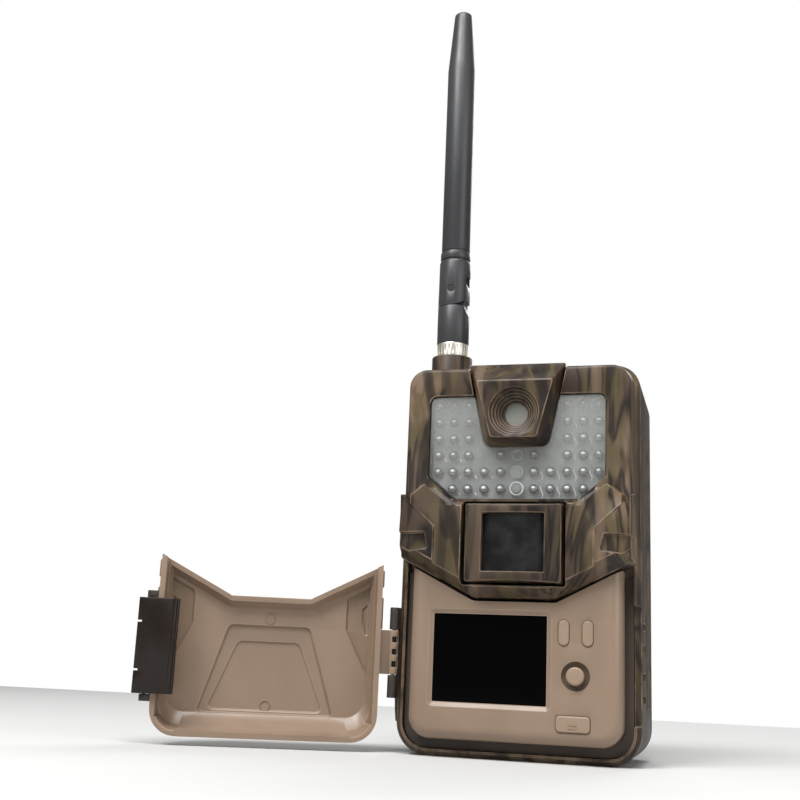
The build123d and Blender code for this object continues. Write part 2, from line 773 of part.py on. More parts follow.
with BuildPart() as catch_bracket:
    for side in (-1, 1):
        with BuildSketch(Plane.YZ.offset(lever_x + side * 3.4 - 0.8)):
            with Locations((lever_y, lever_z)):
                Circle(2.4)
            with Locations(((lever_y + bay_front - bay_wall) / 2, lever_z)):
                Rectangle(bay_front - bay_wall - lever_y, 4.8)
            with Locations((lever_y, lever_z)):
                Circle(1.0 + slip, mode=Mode.SUBTRACT)
        extrude(amount=1.6)
save(catch_bracket, "catch_bracket")

# ---------------------------------------------------------------- gaskets
with BuildPart() as door_seal:
    with BuildSketch(front(flange_y)):
        add(under_v(pocket_half - 0.15, rim_width + 0.15, -3.2, corner_low - 3.0))
        with BuildSketch(mode=Mode.SUBTRACT):
            add(under_v(panel_half + 0.15, panel_low - 0.15, 20.0, panel_corner))
    extrude(amount=flange_y - door_rim_y - 0.12)
save(door_seal, "door_seal")

with BuildPart() as front_seal:
    with BuildSketch(front(seam_y + 1.6)):
        add(shell_outline(pocket_half - 0.15, body_height - (rim_width) - 0.15, 6.0,
                          corner_high - 2.8))
        with BuildSketch(mode=Mode.SUBTRACT):
            add(shell_outline(pocket_half - 2.1, shell_top - wall - 1.0, -6.0, corner_high - 4.6))
    extrude(amount=1.6 + gap * 0.8)
save(front_seal, "front_seal")

# ---------------------------------------------------------------- boards inside the case
board_low, board_high = 18.0, body_height - 8.6
with BuildPart() as main_board:
    with BuildSketch(front(-1.4)):
        with Locations((0, (board_low + board_high) / 2)):
            RectangleRounded(2 * (case_half - 7.65), board_high - board_low, 2.0)
        with Locations((eject_x, 18.0)):
            Rectangle(20.0, 24.0, mode=Mode.SUBTRACT)
    extrude(amount=1.6)
save(main_board, "main_board")

with BuildPart() as modem_module:
    with BuildSketch(front(2.2)):
        with Locations((-14.0, 112.0)):
            RectangleRounded(32.0, 29.0, 0.6)
    extrude(amount=3.5)
save(modem_module, "modem_module")

with BuildPart() as processor_shield:
    with BuildSketch(front(-3.1)):
        with Locations((16.0, 96.0)):
            RectangleRounded(22.0, 22.0, 0.6)
    extrude(amount=2.4)
save(processor_shield, "processor_shield")

with BuildPart() as microphone:
    with BuildSketch(front(-3.1)):
        with Locations((31.0, 64.0)):
            Circle(3.0)
    extrude(amount=2.2)
save(microphone, "microphone")

with BuildPart() as board_posts:
    for x in (-31.0, 31.0):
        for z in (84.0, body_height - 16.6):
            with BuildSketch(front(cavity_back)):
                with Locations((x, z)):
                    Circle(3.0)
            extrude(amount=cavity_back + 1.35)
save(board_posts, "board_posts")

# ---------------------------------------------------------------- battery tray
with BuildPart() as battery_tray:
    with BuildSketch(upright(0, (tray_front + tray_back) / 2, 0.2)):
        Rectangle(2 * tray_half, tray_depth)
    extrude(amount=tray_top - 0.2)
    with BuildSketch(upright(0, (tray_front + tray_back) / 2, cap_thick + 1.6)):
        Rectangle(2 * (tray_half - tray_wall), tray_depth + 2)
    extrude(amount=cell_len + 3.2, mode=Mode.SUBTRACT)
    # notch that the catch's tongue drops into, finger relief in the cap
    with BuildSketch(front(tray_front - 1)):
        with Locations((eject_x, eject_z + 9.0)):
            Rectangle(7.0, 5.0)
    extrude(amount=-3.0, mode=Mode.SUBTRACT)
    with BuildSketch(upright(0, (tray_front + tray_back) / 2, -1)):
        SlotOverall(30.0, 12.0)
    extrude(amount=2.2, mode=Mode.SUBTRACT)
    with BuildSketch(upright(0, (tray_front + tray_back) / 2, seal_low)):
        Rectangle(2 * tray_half + 2, tray_depth + 2)
        Rectangle(2 * (tray_half - seal_groove), tray_depth - 2 * seal_groove, mode=Mode.SUBTRACT)
    extrude(amount=seal_high - seal_low, mode=Mode.SUBTRACT)
    # middle web between the two layers
    with BuildSketch(upright(0, (tray_front + tray_back) / 2, cap_thick)):
        Rectangle(2 * tray_half, 0.8)
    extrude(amount=tray_top - cap_thick)
save(battery_tray, "battery_tray")

cell_low = cap_thick + 3.0
cell_ys = [(tray_front + tray_back) / 2 + side * (cell_r + 0.55) for side in (-1, 1)]
cell_xs = [(i - (cells_across - 1) / 2) * cell_pitch for i in range(cells_across)]
with BuildPart() as battery_cells:
    for y in cell_ys:
        for x in cell_xs:
            with BuildSketch(upright(x, y, cell_low)):
                Circle(cell_r)
            extrude(amount=cell_len - 1.2)
            with BuildSketch(upright(x, y, cell_low + cell_len - 1.2)):
                Circle(2.6)
            extrude(amount=1.2)
save(battery_cells, "battery_cells")

with BuildPart() as battery_contacts:
    for y in cell_ys:
        for x in cell_xs:
            for low in (cap_thick + 1.7, cell_low + cell_len + 0.1):
                with BuildSketch(upright(x, y, low)):
                    RectangleRounded(10.0, 10.0, 1.0)
                extrude(amount=0.5)
save(battery_contacts, "battery_contacts")

with BuildPart() as tray_seal:
    with BuildSketch(upright(0, (tray_front + tray_back) / 2, seal_low + slip)):
        Rectangle(2 * bay_half - 2 * slip, bay_back - bay_front - 2 * slip)
        Rectangle(2 * (tray_half - seal_groove) + 2 * slip, tray_depth - 2 * seal_groove + 2 * slip,
                  mode=Mode.SUBTRACT)
    extrude(amount=seal_high - seal_low - 2 * slip)
save(tray_seal, "tray_seal")

# ---------------------------------------------------------------- bottom fittings
with BuildPart() as tripod_insert:
    with BuildSketch(upright(0, 0, 0)):
        Circle(insert_r - slip)
        Circle(thread_r, mode=Mode.SUBTRACT)
    extrude(amount=insert_len - 1.0)
    with BuildSketch(upright(0, 0, insert_len - 1.0)):
        Circle(insert_r - slip)
    extrude(amount=0.9)
save(tripod_insert, "tripod_insert")

with BuildPart() as dc_jack:
    with BuildSketch(upright(jack_x, 0, 3.0)):
        Circle(3.5)
        Circle(2.75, mode=Mode.SUBTRACT)
    extrude(amount=8.0)
    with BuildSketch(upright(jack_x, 0, 3.0)):
        Circle(0.8)
    extrude(amount=8.0)
    with BuildSketch(upright(jack_x, 0, 10.4)):
        Circle(3.5)
    extrude(amount=1.4)
save(dc_jack, "dc_jack")

with BuildPart() as dc_plug:
    with BuildSketch(upright(jack_x, 0, 0.15)):
        Circle(4.4)
    extrude(amount=1.1)
    with BuildSketch(upright(jack_x, 0, 1.2)):
        Circle(2.5)
        Circle(1.4, mode=Mode.SUBTRACT)
    extrude(amount=4.6)
save(dc_plug, "dc_plug")

# ---------------------------------------------------------------- antenna
with BuildPart() as sma_jack:
    with BuildSketch(upright(antenna_x, antenna_y, body_height - wall - 3.0)):
        Circle(jack_body_r)
    extrude(amount=3.0 + boss_top - body_height + wall - 0.2)
    with BuildSketch(upright(antenna_x, antenna_y, boss_top - 0.2)):
        Circle(jack_thread_r)
    extrude(amount=nut_top - boss_top - 1.0)
save(sma_jack, "sma_jack")

with BuildPart() as antenna_nut:
    with BuildSketch(upright(antenna_x, antenna_y, boss_top + 0.2)):
        Circle(nut_r)
        Circle(jack_thread_r + slip, mode=Mode.SUBTRACT)
    extrude(amount=nut_top - boss_top - 0.4)
    with BuildSketch(upright(antenna_x, antenna_y, boss_top + 1.2)):
        with PolarLocations(nut_r + 0.1, 24):
            Rectangle(0.5, 0.8)
    extrude(amount=nut_top - boss_top - 2.4, mode=Mode.SUBTRACT)
save(antenna_nut, "antenna_nut")

knuckle = Plane.XZ.offset(-antenna_y - barrel_r - 1)   # behind the antenna; cuts run forwards
with BuildPart() as antenna_base:
    with BuildSketch(upright(antenna_x, antenna_y, nut_top)):
        Circle(barrel_r)
    extrude(amount=barrel_top - nut_top)
    # tongue that carries the fold pin
    with BuildSketch(Plane.XZ.offset(-antenna_y - tongue_half)):
        with Locations((antenna_x, fold_z)):
            Circle(tongue_r)
        with Locations((antenna_x, (fold_z + nut_top + 6) / 2)):
            Rectangle(2 * tongue_r, fold_z - nut_top - 6)
    extrude(amount=2 * tongue_half)
    with BuildSketch(knuckle):
        with BuildLine():
            Polyline((antenna_x + fold_flat, barrel_top + 2), (antenna_x + fold_flat, barrel_top - 0.6),
                     (antenna_x + barrel_r, barrel_top - 3.8), (antenna_x + barrel_r + 1, barrel_top - 3.8),
                     (antenna_x + barrel_r + 1, barrel_top + 2), close=True)
        make_face()
        with Locations((antenna_x, fold_z)):
            Circle(fold_pin_r + slip)
    extrude(amount=2 * barrel_r + 2, mode=Mode.SUBTRACT)
save(antenna_base, "antenna_base")

with BuildPart() as antenna_pin:
    with BuildSketch(Plane.XZ.offset(-antenna_y - barrel_r + fold_pin_sink)):
        with Locations((antenna_x, fold_z)):
            Circle(fold_pin_r)
    extrude(amount=2 * (barrel_r - fold_pin_sink))
save(antenna_pin, "antenna_pin")

cheek_low = barrel_top + fold_gap
cheek_r = fold_z - cheek_low           # what swings past the barrel stays inside this radius
with BuildPart() as antenna_whip:
    with BuildSketch(upright(antenna_x, antenna_y, cheek_low)):
        Circle(barrel_r - slip)
    extrude(amount=knuckle_top - cheek_low)
    # slot round the tongue, open on the side the whip folds to
    with BuildSketch(Plane.XZ.offset(-antenna_y - tongue_half - 0.15)):
        with Locations((antenna_x, fold_z)):
            Circle(tongue_r + fold_gap)
        with Locations((antenna_x, fold_z - 8.0)):
            Rectangle(20.0, 16.0)
        with Locations((antenna_x + 8.0, fold_z - 1.0)):
            Rectangle(16.0, 14.4)
    extrude(amount=2 * tongue_half + 0.3, mode=Mode.SUBTRACT)
    # side cut back so that the cheeks clear the barrel when they swing
    with BuildSketch(knuckle):
        with BuildLine():
            Polyline((antenna_x + fold_flat, fold_z + 2.0), (antenna_x + barrel_r + 1, fold_z + 5.4),
                     (antenna_x + barrel_r + 1, cheek_low - 1), (antenna_x, cheek_low - 1),
                     (antenna_x, fold_z), (antenna_x + fold_flat, fold_z), close=True)
        make_face()
        with Locations((antenna_x, fold_z)):
            Circle(cheek_r, mode=Mode.SUBTRACT)
    extrude(amount=2 * barrel_r + 2, mode=Mode.SUBTRACT)
    with BuildSketch(knuckle):
        with BuildLine():
            Polyline((antenna_x + fold_flat, fold_z + 2.0), (antenna_x + barrel_r + 1, fold_z + 5.4),
                     (antenna_x + barrel_r + 1, cheek_low - 1), (antenna_x + fold_flat, cheek_low - 1), close=True)
        make_face()
        with Locations((antenna_x, fold_z)):
            Circle(fold_pin_r + slip)
    extrude(amount=2 * barrel_r + 2, mode=Mode.SUBTRACT)
    # neck rings, long sleeve and the tapered tip, turned about the antenna's axis
    groove_r, ring_r = whip_r - 0.35, barrel_r - 0.3
    with BuildSketch(Plane(origin=(antenna_x, antenna_y, 0), x_dir=(1, 0, 0), z_dir=(0, -1, 0))):
        with BuildLine():
            Polyline((0, knuckle_top - 1), (barrel_r - slip, knuckle_top - 1), (barrel_r - slip, knuckle_top),
                     (ring_r, knuckle_top + 0.9), (groove_r, knuckle_top + 0.9), (groove_r, knuckle_top + 1.8),
                     (ring_r, knuckle_top + 1.8), (ring_r, knuckle_top + 4.7), (groove_r, knuckle_top + 4.7),
                     (groove_r, knuckle_top + 5.6), (whip_r, knuckle_top + 5.6), (whip_r, taper_z),
                     (tip_r, tip_z - 0.8), (tip_r - 0.8, tip_z), (0, tip_z), (0, knuckle_top - 1))
        make_face()
    revolve(axis=Axis((antenna_x, antenna_y, 0), (0, 0, 1)))
save(antenna_whip, "antenna_whip")

# ---------------------------------------------------------------- door and hinge
def door_sections(inset, face_shift):
    """Three outlines of the door, from its rim to its face, drawn in by inset."""
    at_rim = (door_rim_y, door_half - inset, door_low + inset, 0.0)
    at_mid = (door_mid_y, door_half - 0.5 - inset, door_low + 1.7 + inset, 0.0)
    at_face = (door_face_y + face_shift, door_half - 1.9 - inset, door_low + 6.5 + inset, -door_v_drop)
    return [(y, under_v(half, low, door_v_z - v_flat_z + lift - inset, 10.0 - inset))
            for y, half, low, lift in (at_rim, at_mid, at_face)]


def door_block(inset, face_shift):
    """Solid between the door's three outlines."""
    rows = door_sections(inset, face_shift)
    with BuildPart() as block:
        for (near_y, near), (far_y, far) in zip(rows, rows[1:]):
            with BuildPart() as span:
                with BuildSketch(front(near_y)):
                    add(near)
                with BuildSketch(front(far_y)):
                    add(far)
                loft(ruled=True)
            add(span.part)
    return block.part


def door_relief_block(grow, low_y, high_y):
    """Raised trapezoid and side wings of the door's face, each with a smaller second step."""
    edge = door_half - 2.3
    foot = door_low + 7.0
    with BuildPart() as raised:
        with BuildSketch(front(low_y)):
            add(trapezoid((27.6 + grow, foot - grow), (16.8 + grow, 46.4 + grow), 2.0, 3.0))
            for side in (-1, 1):
                points = [(side * (28.5 - grow), 45.0), (side * edge, 24.0 - grow),
                          (side * edge, v_height(edge, -6.6)), (side * (28.5 - grow), v_height(28.5, -6.6))]
                add(outline(points, (1.5, 1.0, 1.0, 1.0)))
        extrude(amount=low_y - high_y, taper=35)
        with BuildSketch(front(high_y)):
            add(trapezoid((23.4 + grow, foot + 1.8 - grow), (12.8 + grow, 40.0 + grow), 2.0, 3.0))
            for side in (-1, 1):
                points = [(side * (35.0 - grow), 48.0), (side * (edge - 1.6), 39.5 - grow),
                          (side * (edge - 1.6), 57.0 + grow), (side * (35.0 - grow), 54.0 + grow)]
                add(outline(points, (1.0, 0.6, 0.6, 0.6)))
        extrude(amount=door_step, taper=35)
    return raised.part


outer_door = door_block(0.0, 0.0)
inner_door = door_block(door_wall, door_wall)
outer_relief = door_relief_block(0.0, door_face_y + 0.6, door_face_y - door_relief)
inner_relief = door_relief_block(-0.8, door_face_y + door_wall + 0.3, door_face_y + door_wall - door_relief)

with BuildPart() as door_shell:
    add(outer_door)
    add(outer_relief)
    add(inner_door, mode=Mode.SUBTRACT)
    add(inner_relief, mode=Mode.SUBTRACT)
    # the top wall stops in front of the panel
    with BuildSketch(front(door_rim_y + 1)):
        with Locations((0, 45)):
            Rectangle(2 * (door_half - door_wall), 70)
    extrude(amount=door_rim_y + 1 - door_mid_y, mode=Mode.SUBTRACT)
    # two raised blocks on each side, in line with the shell's wings
    for side in (-1, 1):
        for low, high in ((45.5, 58.0), (61.5, 68.5)):
            with BuildSketch(front(door_mid_y + 4.0)):
                with Locations((side * (door_half - 0.2), (low + high) / 2)):
                    RectangleRounded(2.6, high - low, 0.8)
            extrude(amount=7.0, taper=6)
    # arms and knuckle of the hinge
    with BuildSketch(upright(0, 0, door_knuckle_z[0])):
        with Locations((hinge_x, hinge_y)):
            Circle(knuckle_r)
        with Locations(((hinge_x - door_half + 0.8) / 2, hinge_y - 2.5)):
            Rectangle(-door_half + 0.8 - hinge_x, 2.2)
    extrude(amount=door_knuckle_z[1] - door_knuckle_z[0])
    with BuildSketch(upright(hinge_x, hinge_y, door_knuckle_z[0] - 1)):
        Circle(hinge_pin_r + slip)
    extrude(amount=door_knuckle_z[1] - door_knuckle_z[0] + 2, mode=Mode.SUBTRACT)
    for low in (31.6, 36.2, 40.8):
        with BuildSketch(upright(hinge_x - 0.9, hinge_y + 1.4, low)):
            Rectangle(3.4, 2.8)
        extrude(amount=2.2, mode=Mode.SUBTRACT)
on_door(door_shell)
save(door_shell, "door_shell")

with BuildPart() as latch_bracket:
    with BuildSketch(upright(0, 0, latch_low - lug_thick - 0.2)):
        with Locations((door_half + 0.35, latch_y - 0.1)):
            Rectangle(0.7, 3.0)
    extrude(amount=latch_high - latch_low + 2 * lug_thick + 0.4)
    for low in (latch_low - lug_thick - 0.2, latch_high + 0.2):
        with BuildSketch(upright(0, 0, low)):
            with Locations((latch_x, latch_y)):
                Circle(latch_barrel_r)
            with Locations(((door_half + latch_x) / 2, latch_y - 0.1)):
                Rectangle(latch_x - door_half, 3.0)
        extrude(amount=lug_thick)
    with BuildSketch(upright(latch_x, latch_y, 0)):
        Circle(latch_pin_r + slip)
    extrude(amount=latch_high + 10, mode=Mode.SUBTRACT)
on_door(latch_bracket)
save(latch_bracket, "latch_bracket")

with BuildPart() as latch_pin:
    with BuildSketch(upright(latch_x, latch_y, latch_low - lug_thick)):
        Circle(latch_pin_r)
    extrude(amount=latch_high - latch_low + 2 * lug_thick)
on_door(latch_pin)
save(latch_pin, "latch_pin")

# drawn folded in over the open door's rim
plate_y = latch_y + latch_lift
with BuildPart() as latch:
    with BuildSketch(upright(0, 0, latch_low)):
        with Locations((latch_x, latch_y)):
            Circle(latch_barrel_r)
        with Locations((latch_x, (latch_y + plate_y) / 2 + 0.4)):
            Rectangle(2.4, latch_lift + 0.6)
        with Locations((latch_x + (latch_short - latch_long) / 2, plate_y + latch_thick / 2)):
            RectangleRounded(latch_long + latch_short, latch_thick, 0.6)
        with Locations((latch_x - latch_long + 0.8, plate_y)):
            Rectangle(1.6, 2 * 0.95)
        with Locations((latch_x - latch_long + 1.6, plate_y + latch_thick)):
            Circle(0.9)
    extrude(amount=latch_high - latch_low)
    with BuildSketch(upright(latch_x, latch_y, latch_low - 1)):
        Circle(latch_pin_r + slip)
    extrude(amount=latch_high - latch_low + 2, mode=Mode.SUBTRACT)
    for z in (26.7, 44.4):
        with BuildSketch(upright(latch_x + latch_short - 0.6, plate_y + latch_thick / 2, z - 0.35)):
            Rectangle(2.0, 4.0)
        extrude(amount=0.7, mode=Mode.SUBTRACT)
on_door(latch)
save(latch, "latch")

with BuildPart() as hinge_bracket:
    with BuildSketch(upright(0, 0, body_knuckle_z[0][0])):
        with Locations((-case_half - 0.75, hinge_y + 4.2)):
            Rectangle(1.5, 4.2)
    extrude(amount=body_knuckle_z[1][1] - body_knuckle_z[0][0])
    for low, high in body_knuckle_z:
        with BuildSketch(upright(0, 0, low)):
            with Locations((hinge_x, hinge_y)):
                Circle(knuckle_r)
            with Locations(((hinge_x - knuckle_r - case_half) / 2, hinge_y + 2.6)):
                Rectangle(hinge_x * -1 + knuckle_r - case_half, 4.4)
        extrude(amount=high - low)
    # web that runs down the side below the lower knuckle
    web_y = hinge_y + 4.2
    with BuildSketch(Plane.YZ.offset(-case_half - 1.5)):
        with BuildLine():
            Polyline((web_y - 2.1, 21.0), (web_y + 2.1, 21.0), (web_y + 2.1, 16.5), (web_y + 0.4, 11.5),
                     (web_y - 1.2, 16.0), (web_y - 2.1, 21.0))
        make_face()
    extrude(amount=1.5)
    with BuildSketch(upright(hinge_x, hinge_y, 0)):
        Circle(hinge_pin_r + slip)
    extrude(amount=80, mode=Mode.SUBTRACT)
save(hinge_bracket, "hinge_bracket")

with BuildPart() as hinge_pin:
    with BuildSketch(upright(hinge_x, hinge_y, body_knuckle_z[0][0] + 0.2)):
        Circle(hinge_pin_r)
    extrude(amount=body_knuckle_z[1][1] - body_knuckle_z[0][0] - 0.4)
save(hinge_pin, "hinge_pin")

# ---------------------------------------------------------------- screws on the back
with BuildPart() as case_screws:
    with BuildSketch(front(back_y - screw_sink)):
        with Locations(*screw_spots):
            Circle(screw_r)
    extrude(amount=0.3 - screw_sink)
save(case_screws, "case_screws")
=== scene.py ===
# %% [markdown]
# # A trail camera
# The maker's drawing gives every part its place and size. This lesson dresses those parts: it puts
# soft edges on the mouldings, adds the small detail that a drawing leaves out, and gives each surface
# a finish. The frame is loaded first.

# %% Load the frame
import json
import math

import bmesh
import bpy
from mathutils import Matrix, Vector
from mathutils.bvhtree import BVHTree
from mathutils.geometry import tessellate_polygon


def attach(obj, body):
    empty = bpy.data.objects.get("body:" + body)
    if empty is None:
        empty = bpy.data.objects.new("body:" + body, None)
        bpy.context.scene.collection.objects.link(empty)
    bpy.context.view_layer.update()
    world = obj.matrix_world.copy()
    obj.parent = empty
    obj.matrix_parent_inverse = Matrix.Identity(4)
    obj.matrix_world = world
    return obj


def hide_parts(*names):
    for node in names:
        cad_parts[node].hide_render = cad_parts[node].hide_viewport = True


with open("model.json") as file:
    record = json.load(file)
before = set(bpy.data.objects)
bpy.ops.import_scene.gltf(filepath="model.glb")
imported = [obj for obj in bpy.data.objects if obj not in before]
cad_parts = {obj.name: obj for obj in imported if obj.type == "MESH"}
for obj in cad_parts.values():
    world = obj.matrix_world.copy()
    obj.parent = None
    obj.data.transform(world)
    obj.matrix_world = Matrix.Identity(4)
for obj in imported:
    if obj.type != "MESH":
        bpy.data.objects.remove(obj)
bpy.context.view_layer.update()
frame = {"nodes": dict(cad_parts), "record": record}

MM = 0.001
nodes = frame["nodes"]

# %% [markdown]
# The camera comes first, because every later choice is judged through it. It stands low and a little
# to the right of the case and looks up at it, with a normal lens. A turn, a tilt and a roll are easier
# to read than a matrix, so the matrix is worked out from them.

# %% Camera
camera_place = Vector((77.0, -444.7, 30.1)) * MM
camera_turn, camera_tilt, camera_roll = (math.radians(a) for a in (16.30, 13.29, 2.52))
lens_mm, sensor_mm = 51.66, 36.0

camera_data = bpy.data.cameras.new("camera")
camera_data.lens = lens_mm
camera_data.sensor_width = sensor_mm
camera = bpy.data.objects.new("camera", camera_data)
aim = Matrix.Rotation(camera_turn, 4, "Z") @ Matrix.Rotation(math.pi / 2 + camera_tilt, 4, "X")
camera.matrix_world = Matrix.Translation(camera_place) @ aim @ Matrix.Rotation(camera_roll, 4, "Z")
bpy.context.collection.objects.link(camera)
bpy.context.scene.camera = camera
print("camera at", [round(c, 3) for c in camera_place])

# %% [markdown]
# A pale floor and a pale sky stand in for a studio's sweep. Four large area lamps give soft edges:
# the key from the upper left, one from above that draws the bright line in each hollow's foot, a fill
# from the right and a rim from behind.

# %% Floor and light
floor_mesh = bpy.data.meshes.new("floor")
near, far, side = -1.0, 0.55, 1.1
floor_corners = [(-side, near, 0), (side, near, 0), (side, far, 0), (-side, far, 0)]
floor_mesh.from_pydata(floor_corners, [], [(0, 1, 2, 3)])
floor = bpy.data.objects.new("floor", floor_mesh)
bpy.context.collection.objects.link(floor)
floor_paint = bpy.data.materials.new("floor_paint")
floor_paint.use_nodes = True
floor_shader = floor_paint.node_tree.nodes["Principled BSDF"]
floor_shader.inputs["Base Color"].default_value = (0.62, 0.62, 0.615, 1)
floor_shader.inputs["Roughness"].default_value = 0.9
floor_mesh.materials.append(floor_paint)

bpy.context.scene.view_settings.view_transform = "Standard"
world = bpy.data.worlds.new("studio")
bpy.context.scene.world = world
world.use_nodes = True
studio = world.node_tree
sky = studio.nodes["Background"]
sky.inputs["Strength"].default_value = 0.24
sky.inputs["Color"].default_value = (1.0, 1.0, 1.0, 1)
backdrop = studio.nodes.new("ShaderNodeBackground")
backdrop.inputs["Color"].default_value = (1.0, 1.0, 1.0, 1)
backdrop.inputs["Strength"].default_value = 1.0
seen = studio.nodes.new("ShaderNodeLightPath")
either = studio.nodes.new("ShaderNodeMixShader")
studio.links.new(seen.outputs["Is Camera Ray"], either.inputs[0])
studio.links.new(sky.outputs["Background"], either.inputs[1])
studio.links.new(backdrop.outputs["Background"], either.inputs[2])
studio.links.new(either.outputs["Shader"], studio.nodes["World Output"].inputs["Surface"])


def area_lamp(name, place, target, size, watts):
    """A square soft lamp at place that looks at target."""
    data = bpy.data.lights.new(name, "AREA")
    data.size = size
    data.energy = watts
    lamp = bpy.data.objects.new(name, data)
    facing = (Vector(target) - Vector(place)).to_track_quat("-Z", "Y")
    lamp.matrix_world = Matrix.Translation(Vector(place)) @ facing.to_matrix().to_4x4()
    bpy.context.collection.objects.link(lamp)


middle = (0.0, 0.0, 0.1)
area_lamp("key", (-0.35, -0.75, 0.95), middle, 0.45, 11.5)
area_lamp("above", (0.05, -0.40, 0.85), middle, 0.30, 4.5)
area_lamp("fill", (0.9, -0.55, 0.45), middle, 0.6, 3.0)
area_lamp("rim", (0.1, 0.9, 0.8), middle, 0.6, 6.0)
print("lamps:", [lamp.name for lamp in bpy.data.lights])

# %% [markdown]
# Each finish is a small node tree. They all start from the object's own coordinates, which are metres
# here, so a pattern has one scale on every part and stays put when a part swings. These helpers keep
# the trees short to read.


# %% Helpers for finishes
def finish_tree(name, roughness, specular=0.5, coat=0.0):
    """A new material, its tree and its shader, with the plain numbers set on the shader."""
    material = bpy.data.materials.new(name)
    material.use_nodes = True
    tree = material.node_tree
    shader = tree.nodes["Principled BSDF"]
    shader.inputs["Roughness"].default_value = roughness
    shader.inputs["Specular IOR Level"].default_value = specular
    shader.inputs["Coat Weight"].default_value = coat
    return material, tree, shader


def spot(tree, stretch=(1, 1, 1), turn=(0, 0, 0), shift=(0, 0, 0)):
    """Object coordinates, stretched, turned and shifted."""
    source = tree.nodes.new("ShaderNodeTexCoord")
    mapping = tree.nodes.new("ShaderNodeMapping")
    mapping.inputs["Scale"].default_value = stretch
    mapping.inputs["Rotation"].default_value = turn
    mapping.inputs["Location"].default_value = shift
    tree.links.new(source.outputs["Object"], mapping.inputs["Vector"])
    return mapping.outputs["Vector"]


def noise(tree, vector, scale, detail=3.0, distortion=0.0):
    """Value of a noise texture."""
    node = tree.nodes.new("ShaderNodeTexNoise")
    node.inputs["Scale"].default_value = scale
    node.inputs["Detail"].default_value = detail
    node.inputs["Distortion"].default_value = distortion
    tree.links.new(vector, node.inputs["Vector"])
    return node.outputs["Fac"]


def ramp(tree, value, stops):
    """Colour ramp from (place, colour) stops; a number stands for a grey."""
    node = tree.nodes.new("ShaderNodeValToRGB")
    node.color_ramp.interpolation = "EASE"
    while len(node.color_ramp.elements) < len(stops):
        node.color_ramp.elements.new(0.5)
    for element, (place, colour) in zip(node.color_ramp.elements, stops):
        element.position = place
        element.color = (*colour, 1) if isinstance(colour, tuple) else (colour, colour, colour, 1)
    tree.links.new(value, node.inputs["Fac"])
    return node.outputs["Color"]


def mix(tree, factor, first, second, blend="MIX"):
    """Mix of two colours; each may be a socket or a plain colour."""
    node = tree.nodes.new("ShaderNodeMix")
    node.data_type = "RGBA"
    node.blend_type = blend
    for label, given in (("Factor", factor), ("A", first), ("B", second)):
        socket = node.inputs[label]
        if isinstance(given, bpy.types.NodeSocket):
            tree.links.new(given, socket)
        elif isinstance(given, tuple):
            socket.default_value = (*given, 1)
        else:
            socket.default_value = given
    return next(out for out in node.outputs if out.type == "RGBA")


def span(tree, value, low, high):
    """Spread a 0 to 1 value between two numbers."""
    node = tree.nodes.new("ShaderNodeMapRange")
    node.inputs["To Min"].default_value = low
    node.inputs["To Max"].default_value = high
    tree.links.new(value, node.inputs["Value"])
    return node.outputs["Result"]


def bump(tree, shader, height, depth_mm, strength=1.0):
    """Fine relief from a height value."""
    node = tree.nodes.new("ShaderNodeBump")
    node.inputs["Strength"].default_value = strength
    node.inputs["Distance"].default_value = depth_mm * MM
    tree.links.new(height, node.inputs["Height"])
    tree.links.new(node.outputs["Normal"], shader.inputs["Normal"])


def rub_and_highlight_mask(tree):
    """How far a point is on a sharp outer edge, for rub wear and a painted edge highlight: an attribute
    that the softening writes.
    """
    node = tree.nodes.new("ShaderNodeAttribute")
    node.attribute_name = "rub_and_highlight"
    return node.outputs["Fac"]
